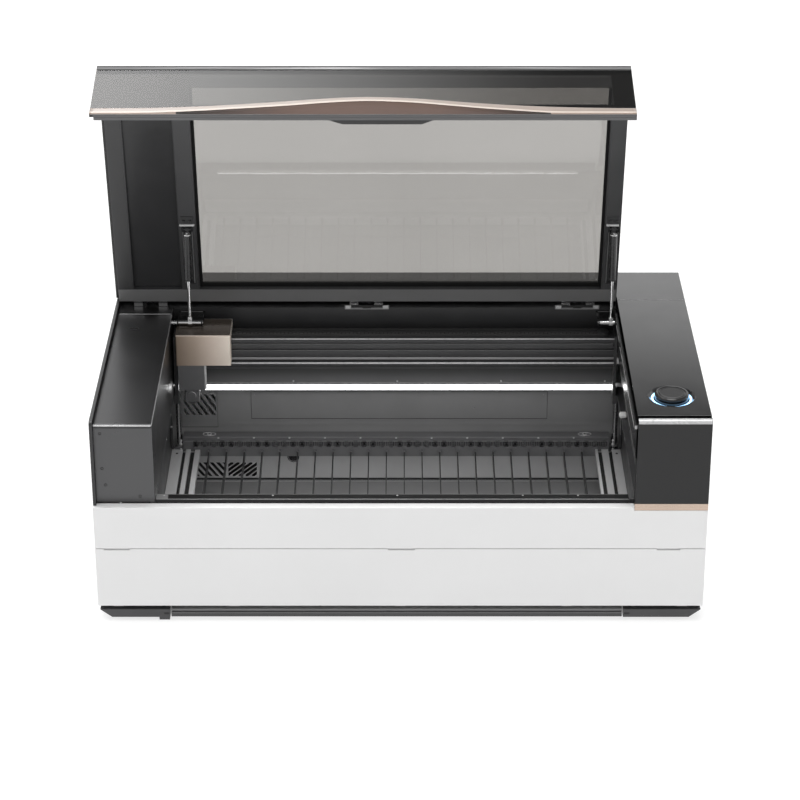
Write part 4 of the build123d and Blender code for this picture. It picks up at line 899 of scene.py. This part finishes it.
def make_floor():
    bm = bmesh.new()
    bmesh.ops.create_grid(bm, x_segments=2, y_segments=2, size=40)
    me = bpy.data.meshes.new("floor")
    bm.to_mesh(me)
    bm.free()
    o = bpy.data.objects.new("floor", me)
    o.location = (0, 0, -0.0005)
    scene.collection.objects.link(o)
    m, nt, out = new_mat("pale_floor")
    df = nt.nodes.new("ShaderNodeBsdfDiffuse")
    em = nt.nodes.new("ShaderNodeEmission")
    ad = nt.nodes.new("ShaderNodeAddShader")
    v = coords(nt)
    link(nt, ramp(nt, noise(nt, v, 2.0), (0.345, 0.345, 0.345), (0.355, 0.355, 0.355)), df.inputs["Color"])
    em.inputs["Color"].default_value = (1, 1, 1, 1)
    em.inputs["Strength"].default_value = 0.72
    link(nt, df.outputs["BSDF"], ad.inputs[0])
    link(nt, em.outputs["Emission"], ad.inputs[1])
    link(nt, ad.outputs["Shader"], out.inputs["Surface"])
    me.materials.append(m)


make_floor()

world = bpy.data.worlds.new("studio")
scene.world = world
world.use_nodes = True
wt = world.node_tree
wt.nodes.clear()
wout = wt.nodes.new("ShaderNodeOutputWorld")
wbg = wt.nodes.new("ShaderNodeBackground")
wt.links.new(wbg.outputs["Background"], wout.inputs["Surface"])
wtc = wt.nodes.new("ShaderNodeTexCoord")
wsp = wt.nodes.new("ShaderNodeSeparateXYZ")
wt.links.new(wtc.outputs["Generated"], wsp.inputs["Vector"])


def wmath(op, a, b=None):
    n = wt.nodes.new("ShaderNodeMath")
    n.operation = op
    for i, x in enumerate((a, b)):
        if x is None:
            continue
        if isinstance(x, (int, float)):
            n.inputs[i].default_value = x
        else:
            wt.links.new(x, n.inputs[i])
    return n.outputs["Value"]


def wstep(x, a, b, lo=0.0, hi=1.0):
    n = wt.nodes.new("ShaderNodeMapRange")
    n.interpolation_type = "SMOOTHSTEP"
    n.inputs["From Min"].default_value = a
    n.inputs["From Max"].default_value = b
    n.inputs["To Min"].default_value = lo
    n.inputs["To Max"].default_value = hi
    wt.links.new(x, n.inputs["Value"])
    return n.outputs["Result"]


dx, dy, dz = wsp.outputs["X"], wsp.outputs["Y"], wsp.outputs["Z"]
rear = wstep(dy, -0.2, 0.2)                        # 1 towards the back of the room
front = wstep(dy, -0.2, 0.2, 1.0, 0.0)
low = wstep(dz, 0.400, 0.452, 1.75, 0.0)           # bright low wall behind, dark above it
low_band = wmath("MULTIPLY", wmath("MULTIPLY", rear, low), wstep(dz, 0.22, 0.36, 0.22, 1.0))
hi_band = wmath("MULTIPLY", wstep(dz, 0.58, 0.66), wstep(dz, 0.86, 0.93, 1.0, 0.0))
side_cut = wmath("MULTIPLY", wstep(dx, -0.13, 0.07, 4.8, 0.0), wstep(dx, -0.7, -0.4))
left_box = wmath("MULTIPLY", wmath("MULTIPLY", hi_band, rear), side_cut)
top_box = wstep(dz, 0.955, 0.975, 0.0, 8.0)        # small strong overhead panel
front_fill = wmath("MULTIPLY", front, 0.30)
side_fill = wmath("MULTIPLY", wmath("ABSOLUTE", dx), 0.22)
total = wmath("ADD", wmath("ADD", low_band, left_box), wmath("ADD", top_box, front_fill))
total = wmath("ADD", wmath("ADD", total, side_fill), 0.24)
wt.links.new(total, wbg.inputs["Strength"])
wbg.inputs["Color"].default_value = (1, 1, 1, 1)

def area(name, at, aim, size, power, size_y=None):
    d = bpy.data.lights.new(name, "AREA")
    d.energy, d.size = power, size
    if size_y:
        d.shape, d.size_y = "RECTANGLE", size_y
    o = bpy.data.objects.new(name, d)
    o.location = at
    o.rotation_euler = (Vector(aim) - Vector(at)).to_track_quat("-Z", "Y").to_euler()
    scene.collection.objects.link(o)
    return o


inner = area("chamber_fill", (-0.01, yy(270), 0.436), (-0.01, yy(330), 0.0), 0.80, 0.9, 0.28)
low_fill = area("bed_fill", (-0.01, yy(300), 0.090), (-0.01, yy(560), 0.045), 0.86, 0.55, 0.02)
low_fill.visible_camera = False
low_fill.visible_glossy = False
low_fill.visible_transmission = False
inner.visible_camera = False
inner.visible_glossy = False
inner.visible_transmission = False

cam_data = bpy.data.cameras.new("camera")
cam = bpy.data.objects.new("camera", cam_data)
scene.collection.objects.link(cam)
scene.camera = cam
cam_data.sensor_width = 36.0
cam_data.sensor_fit = "HORIZONTAL"
cam_data.lens = 2661.6 * 36.0 / 800.0
cam_data.shift_x = -0.0005
cam_data.clip_start, cam_data.clip_end = 0.1, 200
cam.location = (0.0, -4.562 - YC, 2.7358)
cam.rotation_euler = (math.radians(90 - 26.205), 0, 0)
